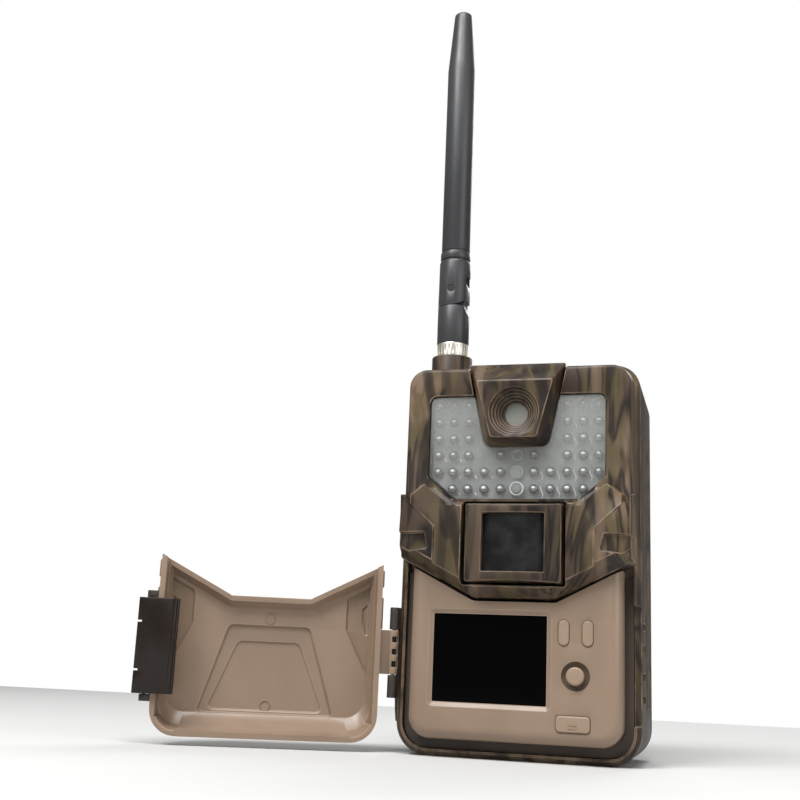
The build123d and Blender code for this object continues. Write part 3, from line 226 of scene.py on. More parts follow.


# %% [markdown]
# The camo print is dipped onto the case as a film, so it is soft, cloudy and a little streaked along
# the case, like bark seen out of focus. Three layers make it: broad brown clouds, olive and tan
# streaks, and thin twig lines. Sharp edges carry a paler line, partly rub wear and partly a painted
# highlight.


# %% Camo print
def camo_finish(name, shade=1.0):
    """Blurred bark print: clouds, streaks and twig lines, pale on sharp edges as rub wear and a painted
    highlight.
    """
    material, tree, shader = finish_tree(name, 0.42, specular=0.30)
    # a shade below 1 darkens every colour: painted shade
    dark, deep, brown, olive, tan, rub_and_highlight = (
        tuple(c * shade for c in colour) for colour in (
            (0.011, 0.007, 0.005), (0.027, 0.0165, 0.0105), (0.080, 0.053, 0.035), (0.083, 0.063, 0.028),
            (0.165, 0.113, 0.074), (0.27, 0.19, 0.13)))
    clouds = noise(tree, spot(tree, (1.0, 1.0, 0.45), (0.2, 0.35, 0)), 31.0, 2.0, 1.1)
    base = ramp(tree, clouds, [(0.34, dark), (0.44, brown), (0.55, brown), (0.68, tan)])
    patches = noise(tree, spot(tree, (1.0, 1.0, 0.62), (0, 0.2, 0.1), (0.055, 0.2, 0.31)), 21.0, 2.0, 0.9)
    base = mix(tree, ramp(tree, patches, [(0.42, 0.78), (0.53, 0.0)]), base, deep)
    drift = noise(tree, spot(tree, (1.5, 1.5, 0.36), (0, 0.30, 0.3), (0.3, 0.1, 0)), 36.0, 2.0, 1.5)
    streaks = ramp(tree, drift, [(0.49, 0.0), (0.56, 0.75), (0.60, 0.75), (0.67, 0.0)])
    base = mix(tree, streaks, base, olive)
    shadow_spot = spot(tree, (1.7, 1.7, 0.36), (0.1, -0.3, 0), (0.05, 0.4, 0.2))
    shadow_drift = noise(tree, shadow_spot, 36.0, 2.0, 1.5)
    shadows = ramp(tree, shadow_drift, [(0.50, 0.0), (0.56, 0.9), (0.64, 0.0)])
    base = mix(tree, shadows, base, dark)
    twig_kinds = ((0.42, 0.0, dark, 0.85), (-0.30, 0.35, tan, 0.65), (0.12, 0.8, dark, 0.6))
    for turn, shift, colour, weight in twig_kinds:
        twig = tree.nodes.new("ShaderNodeTexWave")
        twig.bands_direction = "X"
        twig.inputs["Scale"].default_value = 7.0
        twig.inputs["Distortion"].default_value = 5.0
        twig.inputs["Detail"].default_value = 1.0
        twig.inputs["Detail Scale"].default_value = 0.9
        tree.links.new(spot(tree, (1, 0.6, 0.55), (0, turn, turn * 0.5), (shift, shift * 0.3, 0)),
                       twig.inputs["Vector"])
        twigs = ramp(tree, twig.outputs["Fac"], [(0.0, weight), (0.010, weight * 0.8), (0.030, 0.0)])
        base = mix(tree, twigs, base, colour)
    # pale line on sharp edges, broken into patches: partly rub wear, partly a painted highlight
    edge_line_patchiness = ramp(tree, noise(tree, spot(tree), 150.0, 3.0), [(0.36, 0.15), (0.62, 0.70)])
    base = mix(tree, mix(tree, 1.0, edge_line_patchiness, rub_and_highlight_mask(tree), "MULTIPLY"), base, rub_and_highlight)
    tree.links.new(base, shader.inputs["Base Color"])
    grain = noise(tree, spot(tree), 2600.0, 2.0)
    tree.links.new(span(tree, noise(tree, spot(tree), 190.0, 4.0), 0.34, 0.54), shader.inputs["Roughness"])
    bump(tree, shader, grain, 0.03, 0.35)
    return material


camo = camo_finish("camo_print")
# a darker copy of the print: painted shade on the sensor's frame
camo_painted_shade = camo_finish("camo_print_painted_shade", 0.62)
print("camo print ready")

# %% [markdown]
# The other finishes are plain mouldings, so their life is in small things: a fine spark-eroded grain,
# a slow change of tone, fingerprints that change the gloss, and a faint pale line on the edges that is
# partly rub wear and partly a painted highlight.


# %% Plain mouldings
def moulded(name, colour, roughness, grain_depth=0.02, specular=0.45, variation=0.12, rub_and_highlight=None):
    """Moulded plastic or rubber with grain, slow tone change and smudges."""
    material, tree, shader = finish_tree(name, roughness, specular)
    tone = noise(tree, spot(tree, (1, 1, 0.6)), 38.0, 3.0)
    low = tuple(c * (1 - variation) for c in colour)
    high = tuple(c * (1 + variation) for c in colour)
    base = ramp(tree, tone, [(0.35, low), (0.65, high)])
    # pale colour on sharp edges: partly rub wear, partly a painted highlight
    if rub_and_highlight:
        base = mix(tree, span(tree, rub_and_highlight_mask(tree), 0.0, 0.5), base, rub_and_highlight)
    tree.links.new(base, shader.inputs["Base Color"])
    smudge = noise(tree, spot(tree, (1, 1, 1), (0.3, 0.1, 0.2)), 120.0, 5.0, 0.6)
    tree.links.new(span(tree, smudge, roughness - 0.07, roughness + 0.10), shader.inputs["Roughness"])
    bump(tree, shader, noise(tree, spot(tree), 2200.0, 2.0), grain_depth, 0.35)
    return material


beige = moulded("beige_moulding", (0.242, 0.170, 0.119), 0.34, 0.014, 0.5, 0.06, rub_and_highlight=(0.40, 0.30, 0.22))
beige_key = moulded("beige_key", (0.280, 0.198, 0.141), 0.42, 0.014, 0.45, 0.05, rub_and_highlight=(0.46, 0.36, 0.27))
groove_brown = moulded("groove_rubber", (0.048, 0.035, 0.026), 0.55, 0.02, 0.4, 0.15)
dark_nylon = moulded("dark_nylon", (0.030, 0.024, 0.019), 0.42, 0.02, 0.5, 0.2, rub_and_highlight=(0.07, 0.06, 0.05))
cup_brown = moulded("cup_brown", (0.110, 0.078, 0.056), 0.34, 0.01, 0.45, 0.1)
smoked = moulded("smoked_latch", (0.012, 0.008, 0.006), 0.26, 0.006, 0.28, 0.4, rub_and_highlight=(0.05, 0.035, 0.028))
antenna_skin = moulded("antenna_skin", (0.034, 0.035, 0.037), 0.38, 0.02, 0.5, 0.15,
                       rub_and_highlight=(0.06, 0.06, 0.065))
gasket = moulded("gasket_rubber", (0.012, 0.011, 0.010), 0.62, 0.03, 0.35, 0.2)
print("mouldings ready")

# %% [markdown]
# Clear and metal parts come next. The window and the lamps are clear plastic, but a thin clear part
# reads best as a faint tint with a sharp gloss, so it is see-through by its alpha and needs no
# bending of light. The display and the sensor's lens are black and let nothing through.


# %% Clear, black and metal finishes
def glossy(name, colour, roughness, specular=0.5, coat=0.0, alpha=1.0):
    """Plain glossy finish with smudges in its roughness."""
    material, tree, shader = finish_tree(name, roughness, specular, coat)
    shader.inputs["Base Color"].default_value = (*colour, 1)
    shader.inputs["Alpha"].default_value = alpha
    smudge = noise(tree, spot(tree, (1, 1, 1), (0.4, 0.2, 0.1)), 90.0, 5.0, 0.8)
    gloss = span(tree, smudge, max(0.02, roughness * 0.6), roughness * 1.5)
    tree.links.new(gloss, shader.inputs["Roughness"])
    return material


def one_colour(name, colour, roughness, specular):
    """A single colour, for small pieces that only catch the light."""
    material, _, shader = finish_tree(name, roughness, specular)
    shader.inputs["Base Color"].default_value = (*colour, 1)
    return material


def grained_metal(name, colour, roughness, scale=(1, 1, 1)):
    """Metal with fine scratches along one way."""
    material, tree, shader = finish_tree(name, roughness)
    shader.inputs["Metallic"].default_value = 1.0
    lines = noise(tree, spot(tree, scale), 900.0, 3.0)
    low = tuple(c * 0.8 for c in colour)
    tree.links.new(ramp(tree, lines, [(0.3, low), (0.7, colour)]), shader.inputs["Base Color"])
    tree.links.new(span(tree, lines, roughness - 0.08, roughness + 0.12), shader.inputs["Roughness"])
    bump(tree, shader, lines, 0.01, 0.3)
    return material


display_black = glossy("display_black", (0.0012, 0.0012, 0.0014), 0.08, specular=0.04)
lens_glass = glossy("lens_glass", (0.30, 0.31, 0.275), 0.10, specular=0.6, alpha=0.80, coat=0.3)
lens_barrel = glossy("lens_barrel", (0.10, 0.10, 0.09), 0.3, specular=0.4)
steel = grained_metal("drawn_steel", (0.42, 0.41, 0.40), 0.34, (1, 1, 0.1))
black_steel = grained_metal("blackened_steel", (0.05, 0.05, 0.05), 0.36, (1, 1, 0.1))
brass = grained_metal("turned_brass", (0.60, 0.42, 0.18), 0.30, (1, 1, 12))
nickel = grained_metal("nickel_nut", (0.93, 0.89, 0.78), 0.38, (1, 1, 0.2))
cell_wrap = glossy("cell_sleeve", (0.03, 0.06, 0.13), 0.3)
solder_mask = glossy("solder_mask", (0.012, 0.07, 0.028), 0.35)
shield_tin = grained_metal("shield_tin", (0.5, 0.5, 0.5), 0.4)

# the sensor's lens: black film with faint rings pressed into its back
sensor_film, film_tree, film_shader = finish_tree("sensor_film", 0.30, specular=0.30)
film_rings = film_tree.nodes.new("ShaderNodeTexWave")
film_rings.wave_type = "RINGS"
film_rings.rings_direction = "Y"
film_rings.inputs["Scale"].default_value = 190.0
film_centre = 0.0785
film_tree.links.new(spot(film_tree, shift=(0, 0, -film_centre)), film_rings.inputs["Vector"])
film_haze = noise(film_tree, spot(film_tree), 150.0, 3.0)
film_tint = ramp(film_tree, film_haze, [(0.35, (0.006, 0.006, 0.006)), (0.7, (0.020, 0.020, 0.021))])
film_tree.links.new(film_tint, film_shader.inputs["Base Color"])
bump(film_tree, film_shader, film_rings.outputs["Fac"], 0.05, 0.25)

# the window: a grey tint with a gloss, more opaque and paler towards its top, as a painted reflection of
# the bright sky
window_tint, tint_tree, tint_shader = finish_tree("window_tint", 0.07, specular=0.55, coat=0.4)
tint_shader.inputs["Base Color"].default_value = (0.42, 0.432, 0.415, 1)
tint_height = tint_tree.nodes.new("ShaderNodeSeparateXYZ")
tint_tree.links.new(spot(tint_tree), tint_height.inputs["Vector"])
sky_reflection_rise = tint_tree.nodes.new("ShaderNodeMapRange")
tint_foot, tint_top = 0.098, 0.135
sky_reflection_rise.inputs["From Min"].default_value = tint_foot
sky_reflection_rise.inputs["From Max"].default_value = tint_top
sky_reflection_rise.inputs["To Min"].default_value = 0.08
sky_reflection_rise.inputs["To Max"].default_value = 0.42
tint_tree.links.new(tint_height.outputs["Z"], sky_reflection_rise.inputs["Value"])
tint_tree.links.new(sky_reflection_rise.outputs["Result"], tint_shader.inputs["Alpha"])

# the lamp board behind it: grey and cloudy
lamp_back, back_tree, back_shader = finish_tree("lamp_back", 0.35, specular=0.4)
back_tone = ramp(back_tree, noise(back_tree, spot(back_tree), 110.0, 2.0),
                 [(0.3, (0.17, 0.18, 0.175)), (0.7, (0.29, 0.305, 0.30))])
back_tree.links.new(back_tone, back_shader.inputs["Base Color"])

# a lamp's bulb: pale in the middle for the chip, darker towards the edge and pale again at the rim; the
# dark ring is partly the cup and partly painted shade
bulb_clear, bulb_tree, bulb_shader = finish_tree("bulb_clear", 0.10, specular=0.8, coat=0.6)
reach = bulb_tree.nodes.new("ShaderNodeAttribute")
reach.attribute_name = "reach"
bulb_tree.links.new(ramp(bulb_tree, reach.outputs["Fac"],
                         [(0.0, 0.16), (0.45, 0.10), (0.80, 0.06), (0.9, 0.05), (1.0, 0.20)]),
                    bulb_shader.inputs["Base Color"])
print("clear and metal finishes ready")

# %% [markdown]
# A trade of geometry for looks: the drawing's parts have knife edges, and no moulded part has one. A
# copy of each visible part gets its doubles merged, its flat triangles joined into whole faces, and
# its sharp edges rounded by a narrow bevel. How sharp an outer corner was is written on each new
# face, in an attribute which the finishes read to paint a pale edge line: partly handling wear and
# partly a painted highlight.


# %% Softened copies of the drawn parts
rounding_steps = 2
sharp_deg = 24.0
full_rub_and_highlight_bend = 0.5   # radians of bend at which the edge's rub and painted highlight are full
clear_widths = 4      # bevel widths kept clear round a place that stays sharp
stray_share = 0.8     # share of the width beyond which a point counts as thrown
most_tries, most_strays = 6, 400


def bevelled(source, width, limit, skip):
    """Bevel the sharp edges of a bmesh copy, leaving out those whose middle is near a skipped place."""
    work = source.copy()
    chosen = []
    for edge in work.edges:
        if len(edge.link_faces) != 2 or edge.calc_face_angle(0.0) < limit:
            continue
        middle_point = (edge.verts[0].co + edge.verts[1].co) / 2
        reach_out = edge.calc_length() / 2 + clear_widths * width
        if not any((middle_point - place).length < reach_out for place in skip):
            chosen.append(edge)
    # how sharp each rounded face is, for the pale edge line: partly rub wear, partly a painted highlight
    rub_and_highlight = work.faces.layers.float.new("rub_and_highlight")
    rounded = bmesh.ops.bevel(work, geom=chosen, offset=width, offset_type="OFFSET",
                              segments=rounding_steps, profile=0.5, affect="EDGES",
                              clamp_overlap=False, loop_slide=True)
    for face in rounded["faces"]:
        shared = [edge for edge in face.edges if len(edge.link_faces) == 2]
        bend = max((edge.calc_face_angle_signed(0.0) for edge in shared), default=0.0)
        face[rub_and_highlight] = min(1.0, max(0.0, bend / full_rub_and_highlight_bend))
    return work


def soften(node, width_mm):
    """A copy of a drawn part with rounded edges and an attribute for edge rub and a painted edge
    highlight.

    A bevel can throw a spike where edges crowd together. After each try, points that left the drawn
    surface are found, and the edges near them stay sharp in the next try.
    """
    mesh = nodes[node].data.copy()
    mesh.materials.clear()
    drawn = bmesh.new()
    drawn.from_mesh(mesh)
    bmesh.ops.remove_doubles(drawn, verts=drawn.verts, dist=2e-6)
    drawn_tree = BVHTree.FromBMesh(drawn)
    bmesh.ops.dissolve_limit(drawn, angle_limit=math.radians(0.04), verts=drawn.verts, edges=drawn.edges)
    width, limit, skip = width_mm * MM, math.radians(sharp_deg), []
    for attempt in range(most_tries):
        work = bevelled(drawn, width, limit, skip)
        strays = [v.co.copy() for v in work.verts
                  if drawn_tree.find_nearest(v.co)[3] > stray_share * width]
        if not strays or attempt == most_tries - 1:
            break
        work.free()
        for stray in strays[:most_strays]:
            near_vert = min(drawn.verts, key=lambda v: (v.co - stray).length_squared)
            skip.append(near_vert.co.copy())
        skip = list({tuple(round(c, 5) for c in place): place for place in skip}.values())
    drawn.free()
    bmesh.ops.remove_doubles(work, verts=work.verts, dist=1e-6)
    bmesh.ops.triangulate(work, faces=[f for f in work.faces if len(f.verts) > 4])
    work.to_mesh(mesh)
    work.free()
    piece = bpy.data.objects.new(f"{node}_skin", mesh)
    bpy.context.collection.objects.link(piece)
    shade(piece)
    print(node, "tries:", attempt + 1, "strays left:", len(strays), "kept sharp near:", len(skip))
    return piece


def shade(piece, angle_deg=32.0):
    """Smooth shading, with creases kept above an angle."""
    mesh = piece.data
    for polygon in mesh.polygons:
        polygon.use_smooth = True
    work = bmesh.new()
    work.from_mesh(mesh)
    limit = math.radians(angle_deg)
    for edge in work.edges:
        if len(edge.link_faces) == 2:
            edge.smooth = edge.calc_face_angle(0.0) < limit
    work.to_mesh(mesh)
    work.free()


def body_of(node):
    """The body that a drawn part belongs to."""
    bodies = frame["record"]["behaviour"]["bodies"]
    return next(body for body, members in bodies.items() if node in members)


def dress(node, material, width_mm):
    """Soften a drawn part, give it a finish and let it ride where the part rode."""
    piece = soften(node, width_mm)
    piece.data.materials.append(material)
    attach(piece, body_of(node))
    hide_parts(node)
    return piece


skins = {}
for node, material, width in (
        ("antenna_nut", nickel, 0.06), ("rear_shell", camo, 0.35),
        ("front_shell", camo, 0.42), ("lens_hood", camo, 0.36),
        ("pir_frame", camo_painted_shade, 0.36), ("strap_bracket", camo, 0.4), ("control_panel", beige, 0.2),
        ("door_shell", beige, 0.25), ("menu_button", beige_key, 0.12), ("ok_button", beige_key, 0.12),
        ("joystick_knob", beige_key, 0.15), ("eject_button", beige_key, 0.15),
        ("hinge_bracket", dark_nylon, 0.2), ("latch_bracket", dark_nylon, 0.15), ("latch", smoked, 0.2),
        ("antenna_base", antenna_skin, 0.25), ("antenna_whip", antenna_skin, 0.2),
        ("battery_tray", dark_nylon, 0.3)):
    skins[node] = dress(node, material, width)

# %% [markdown]
# The door was dipped like the case, but its inside and its rim were masked and stayed beige. One
# material could mix both looks by a pattern, but the mask's edge is crisp, and a second slot keeps it
# so. Each face is painted by where it looks once the door is turned back to its shut place:
# forwards, or outwards in front of the rim's band.

# %% Print on the outside of the door
band_facing = -0.30  # how far a face must look forwards to take the print
rim_outward = 0.25   # how far a side face must look outwards
hinge_axis = Vector((-47.7, -12.0, 0.0)) * MM
door_open_deg, band_front = 158.0, -20.0
half_width, half_height, middle_height = 42.0, 32.0, 34.0
shut = Matrix.Rotation(math.radians(door_open_deg), 4, "Z")
door_mesh = skins["door_shell"].data
door_mesh.materials.append(camo)
printed = 0
for polygon in door_mesh.polygons:
    centre = (shut @ (polygon.center - hinge_axis) + hinge_axis) / MM
    normal = shut.to_3x3() @ polygon.normal
    sideways, upwards = centre.x / half_width, (centre.z - middle_height) / half_height
    outwards = normal.x * sideways + normal.z * upwards
    looks_forward = normal.y < band_facing
    looks_out = normal.y < -band_facing and outwards > rim_outward
    if centre.y < band_front and (looks_forward or looks_out):
        polygon.material_index = 1
        printed += 1
print("door faces with the print:", printed, "of", len(door_mesh.polygons))

# %% [markdown]
# The rest keeps the drawn shape: glass, pins, seals and what is inside. These pieces are thin, hidden
# or already round, so a finish is all they need.

# %% Finishes on drawn parts that keep their shape
plain = {
    "lcd_window": display_black, "lcd_module": display_black, "pir_lens": sensor_film,
    "lens_window": lens_glass, "camera_module": lens_barrel, "ir_led_board": lamp_back,
    "light_sensor": lamp_back, "ir_window": window_tint, "door_seal": groove_brown, "front_seal": gasket,
    "tray_seal": gasket, "dc_plug": gasket, "tripod_insert": brass, "dc_jack": brass, "sma_jack": brass,
    "hinge_pin": black_steel, "latch_pin": black_steel, "antenna_pin": black_steel, "catch_pin": steel,
    "battery_contacts": nickel, "button_switches": shield_tin, "modem_module": shield_tin,
    "processor_shield": shield_tin, "microphone": shield_tin, "pir_sensor": shield_tin,
    "battery_cells": cell_wrap, "main_board": solder_mask,
    "panel_board": solder_mask, "pir_board": solder_mask,
    "board_posts": dark_nylon, "tray_catch": dark_nylon, "catch_bracket": dark_nylon,
    "joystick_base": dark_nylon, "joystick_ring": cup_brown, "joystick_cup": cup_brown,
}
for node, material in plain.items():
    mesh = nodes[node].data
    mesh.materials.clear()
    mesh.materials.append(material)
print("plain parts dressed:", len(plain))

# %% [markdown]
# Many small pieces are turned shapes: bulbs, rings, a collar. The Spin tool or a Screw modifier could
# turn them, but a helper that lays the rings itself can also write how far each point is from the
# axis, which the bulb's finish needs. Two smaller helpers serve every mesh drawn here: one joins two
# rings with faces, and one merges the seams, turns the faces outward and ends the mesh.


# %% Turned shapes
def as_object(work, name):
    """An object from a bmesh: seams merged and faces turned outward."""
    bmesh.ops.remove_doubles(work, verts=work.verts, dist=1e-7)
    bmesh.ops.recalc_face_normals(work, faces=work.faces)
    mesh = bpy.data.meshes.new(name)
    work.to_mesh(mesh)
    work.free()
    return bpy.data.objects.new(name, mesh)


def bridge(work, low, high):
    """Four-sided faces between two rings that have the same number of points."""
    for i in range(len(low)):
        after = (i + 1) % len(low)
        work.faces.new([low[i], low[after], high[after], high[i]])


def turned(name, profile, sides):
    """A closed solid turned about local Z from (radius, height) pairs in millimetres."""
    work = bmesh.new()
    reach_layer = work.verts.layers.float.new("reach")
    widest = max(radius for radius, height in profile)
    rings = []
    for radius, height in profile:
        if radius == 0:
            vert = work.verts.new((0, 0, height * MM))
            vert[reach_layer] = 0.0
            rings.append([vert])
            continue
        ring = []
        for step in range(sides):
            angle = math.tau * step / sides
            along, aside = radius * MM * math.cos(angle), radius * MM * math.sin(angle)
            vert = work.verts.new((along, aside, height * MM))
            vert[reach_layer] = radius / widest
            ring.append(vert)
        rings.append(ring)
    for low, high in zip(rings, rings[1:]):
        for step in range(sides):
            after = (step + 1) % sides
            corners = [low[step % len(low)], low[after % len(low)],
                       high[after % len(high)], high[step % len(high)]]
            work.faces.new(list(dict.fromkeys(corners)))
    return as_object(work, name)


# %% [markdown]
# The same bulb sits behind the window dozens of times. Geometry Nodes place one bulb on every point
# of a plain point mesh, so the number and the size are inputs and not copies. The tree ends in
# Realize Instances and Set Material, and the result is turned into a plain mesh.


# %% Scatter with Geometry Nodes
def scatter(name, piece, spots, material, size=1.0, turn=(0, 0, 0), uneven=0.0, seed=7):
    """Copies of piece on every spot (millimetres), through a small node tree; returns a plain object."""
    points = bpy.data.meshes.new(f"{name}_points")
    points.from_pydata([tuple(c * MM for c in place) for place in spots], [], [])
    carrier = bpy.data.objects.new(f"{name}_carrier", points)
    bpy.context.collection.objects.link(carrier)
    tree = bpy.data.node_groups.new(f"{name}_tree", "GeometryNodeTree")
    tree.interface.new_socket("Points", in_out="INPUT", socket_type="NodeSocketGeometry")
    size_in = tree.interface.new_socket("Size", in_out="INPUT", socket_type="NodeSocketFloat")
    uneven_in = tree.interface.new_socket("Uneven", in_out="INPUT", socket_type="NodeSocketFloat")
    tree.interface.new_socket("Geometry", in_out="OUTPUT", socket_type="NodeSocketGeometry")
    entry, leave = tree.nodes.new("NodeGroupInput"), tree.nodes.new("NodeGroupOutput")
    source = tree.nodes.new("GeometryNodeObjectInfo")
    source.inputs["Object"].default_value = piece
    source.inputs["As Instance"].default_value = True
    place = tree.nodes.new("GeometryNodeInstanceOnPoints")
    place.inputs["Rotation"].default_value = turn
    chance = tree.nodes.new("FunctionNodeRandomValue")
    chance.data_type = "FLOAT"
    chance.inputs["Seed"].default_value = seed
    spread = tree.nodes.new("ShaderNodeMath")
    spread.operation = "MULTIPLY_ADD"
    realize = tree.nodes.new("GeometryNodeRealizeInstances")
    paint = tree.nodes.new("GeometryNodeSetMaterial")
    paint.inputs["Material"].default_value = material
    link = tree.links.new
    link(entry.outputs["Points"], place.inputs["Points"])
    link(source.outputs["Geometry"], place.inputs["Instance"])
    link(next(out for out in chance.outputs if out.enabled), spread.inputs[0])
    link(entry.outputs["Uneven"], spread.inputs[1])
    link(entry.outputs["Size"], spread.inputs[2])
    link(spread.outputs[0], place.inputs["Scale"])
    link(place.outputs["Instances"], realize.inputs["Geometry"])
    link(realize.outputs["Geometry"], paint.inputs["Geometry"])
    link(paint.outputs["Geometry"], leave.inputs["Geometry"])
    modifier = carrier.modifiers.new("scatter", "NODES")
    modifier.node_group = tree
    modifier[size_in.identifier] = size
    modifier[uneven_in.identifier] = uneven
    ready = carrier.evaluated_get(bpy.context.evaluated_depsgraph_get())
    mesh = bpy.data.meshes.new_from_object(ready)
    mesh.name = name
    carrier.modifiers.remove(modifier)
    bpy.data.objects.remove(carrier)
    result = bpy.data.objects.new(name, mesh)
    bpy.context.collection.objects.link(result)
    if not mesh.materials:
        mesh.materials.append(material)
    shade(result, 40)
    print(name, "copies:", len(spots), "faces:", len(mesh.polygons))
    return result


# %% [markdown]
# The lamp rows stand in a grid behind the window, with gaps for the hood above and for the light
# sensor in the middle. Each bulb is a shaft with a domed front, drawn lying on its back and then
# turned to face the front.

# %% Lamp bulbs
window_top, row_pitch = 134.65, 6.5
first_row_drop = 2.95
lamp_rows = [window_top - first_row_drop - row_pitch * row for row in range(6)]
lamp_columns = (6.4, 12.7, 19.0, 25.0, 30.8)
lamp_board = -18.0
lamp_spots = []
for row, height in enumerate(lamp_rows):
    for column, across in enumerate(lamp_columns):
        beside_hood = row < 4 and column >= 2
        above_sensor = row == 3 and column == 0
        full_row = row == 4 or (row == 5 and column < 4)
        if beside_hood or above_sensor or full_row:
            lamp_spots += [(-across, lamp_board, height), (across, lamp_board, height)]
lamp_radius = 1.9
dome = [(lamp_radius * 0.86 * math.cos(a), 0.9 + 1.15 * math.sin(a)) for a in
        (math.radians(step * 90 / 7) for step in range(7))]
bulb = turned("bulb", [(0, 0), (lamp_radius, 0), (lamp_radius, 0.75), (lamp_radius * 0.97, 0.9)] + dome
              + [(0, 2.05)], 20)
face_front = (math.radians(90), 0, 0)
bulbs = scatter("lamp_bulbs", bulb, lamp_spots, bulb_clear, 1.0, face_front, uneven=0.03)
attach(bulbs, "case")
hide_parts("ir_leds")

# %% [markdown]
# Each bulb shows a bright spot a little above its middle: the light from above reflected on the
# curved front, and the chip's picture lifted by it. A clear bulb that bends light would show it, at
# the cost of noise. A small pale lens on the dome stands for it instead, as a painted highlight.

# %% Painted highlights in the bulbs
# pale white for the bulbs' painted highlight, and for the bright sensor rings
chip_white = one_colour("chip_white", (0.80, 0.84, 0.82), 0.3, specular=0.5)
chip_lens = turned("chip_lens", [(0, 0), (0.62, 0), (0.5, 0.16), (0.28, 0.24), (0, 0.26)], 12)
chip_lens.data.transform(Matrix.Diagonal((1.25, 0.8, 1, 1)))
highlight_out, highlight_up = 1.93, 0.38
chip_highlight_spots = [(x, y - highlight_out, z + highlight_up) for x, y, z in lamp_spots]
chip_highlight_turn = (math.radians(70), 0, 0)
chip_highlights = scatter("lamp_chips", chip_lens, chip_highlight_spots, chip_white, 0.9, chip_highlight_turn, uneven=0.35)
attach(chip_highlights, "case")

# %% [markdown]
# Below the hood, the middle column holds a faint ring, a pale disc that evens out daylight, and a
# bright ring round the light sensor's own clear core. They differ only in profile, place and finish,
# so one loop makes them from a table.

# %% Light sensor
sensor_pale = one_colour("sensor_pale", (0.42, 0.46, 0.43), 0.25, specular=0.5)
ring_profile = [(2.15, 0), (2.75, 0), (2.75, 0.8), (2.45, 1.15), (2.15, 0.8), (2.15, 0)]
ring_piece = turned("sensor_ring", ring_profile, 28)
disc = turned("sensor_disc", [(0, 0), (2.5, 0), (2.5, 0.7), (2.1, 1.0), (0, 1.15)], 28)
core = turned("sensor_core", [(0, 0), (1.7, 0), (1.7, 0.5), (1.2, 1.1), (0.5, 1.4), (0, 1.45)], 24)
sensor_front, faint_front = lamp_board - 0.6, lamp_board - 0.3
sensor_stack = (
    ("sensor_rings", ring_piece, sensor_front, lamp_rows[5], chip_white, 1.0),
    ("sensor_faint_ring", ring_piece, faint_front, lamp_rows[3], sensor_pale, 0.8),
    ("sensor_pale_disc", disc, sensor_front, lamp_rows[4], sensor_pale, 1.0),
    ("sensor_cores", core, sensor_front, lamp_rows[5], bulb_clear, 1.0),
)
for name, source_piece, front, height, material, size in sensor_stack:
    piece = scatter(name, source_piece, [(0, front, height)], material, size, face_front)
    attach(piece, "case")

# %% [markdown]
# Between the lamps the clear moulding reflects the lamp holders' ribs as short bright squiggles,
# strongest on the right. Thin pale tubes stand for these glints as painted reflections. A curve
# with a round bevel could draw one, but its ends would need caps and a taper of their own. A tube
# laid ring by ring closes and thins by itself, and the tree varies its size from place to place.


# %% Painted glints between the lamps
def squiggle(name, height, swing, radius, steps=12, sides=6):
    """A thin bent tube that stands along local Z and swings along local X."""
    work = bmesh.new()
    rings = []
    for step in range(steps + 1):
        part = step / steps
        thick = radius * (0.35 + 0.65 * math.sin(math.pi * part))
        middle_x = swing * math.sin(math.tau * part * 0.9)
        rings.append([work.verts.new(((middle_x + thick * math.cos(math.tau * side / sides)) * MM,
                                      thick * math.sin(math.tau * side / sides) * MM,
                                      (part - 0.5) * height * MM)) for side in range(sides)])
    for low, high in zip(rings, rings[1:]):
        bridge(work, low, high)
    work.faces.new(rings[0])
    work.faces.new(rings[-1])
    return as_object(work, name)


# pale white tubes: painted reflections of the ribs
glint_white = one_colour("glint_white", (0.66, 0.69, 0.67), 0.2, specular=0.6)
lamp_places = {(x, z) for x, y, z in lamp_spots}
glint_plane = lamp_board - 0.9
glint_right, glint_left = [], []
for first, second in zip(lamp_columns, lamp_columns[1:]):
    for height in lamp_rows:
        between = (first + second) / 2
        if (first, height) in lamp_places and (second, height) in lamp_places:
            glint_right.append((between, glint_plane, height - row_pitch * 0.2))
            glint_left.append((-between, glint_plane, height - row_pitch * 0.3))
long_rib = squiggle("long_rib", 4.4, 0.42, 0.20)
short_rib = squiggle("short_rib", 1.5, 0.25, 0.24)
glints_right = scatter("window_ribs_right", long_rib, glint_right, glint_white, 0.45, uneven=0.75, seed=5)
glints_left = scatter("window_ribs_left", short_rib, glint_left, glint_white, 0.5, uneven=0.6, seed=9)
for piece in (glints_right, glints_left):
    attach(piece, "case")

# %% [markdown]
# The button that frees the tray has a raised mark, a triangle over a bar. It could be a bump in the
# finish, but real depth shows from every side. Two moulding marks stand inside the door, where the
# plastic was let in. A ray finds the door's inner face for each, so they follow if the door's shape
# changes.


# %% Raised marks
def raised(name, outlines, back, height, sunk=0.3):
    """Closed prisms on (x, z) outlines, from sunk behind the back plane to height before it."""
    work = bmesh.new()
    for outline in outlines:
        front_ring = [work.verts.new((x * MM, (back - height) * MM, z * MM)) for x, z in outline]
        back_ring = [work.verts.new((x * MM, (back + sunk) * MM, z * MM)) for x, z in outline]
        bridge(work, front_ring, back_ring)
        work.faces.new(front_ring)
        work.faces.new(back_ring)
    result = as_object(work, name)
    bpy.context.collection.objects.link(result)
    return result


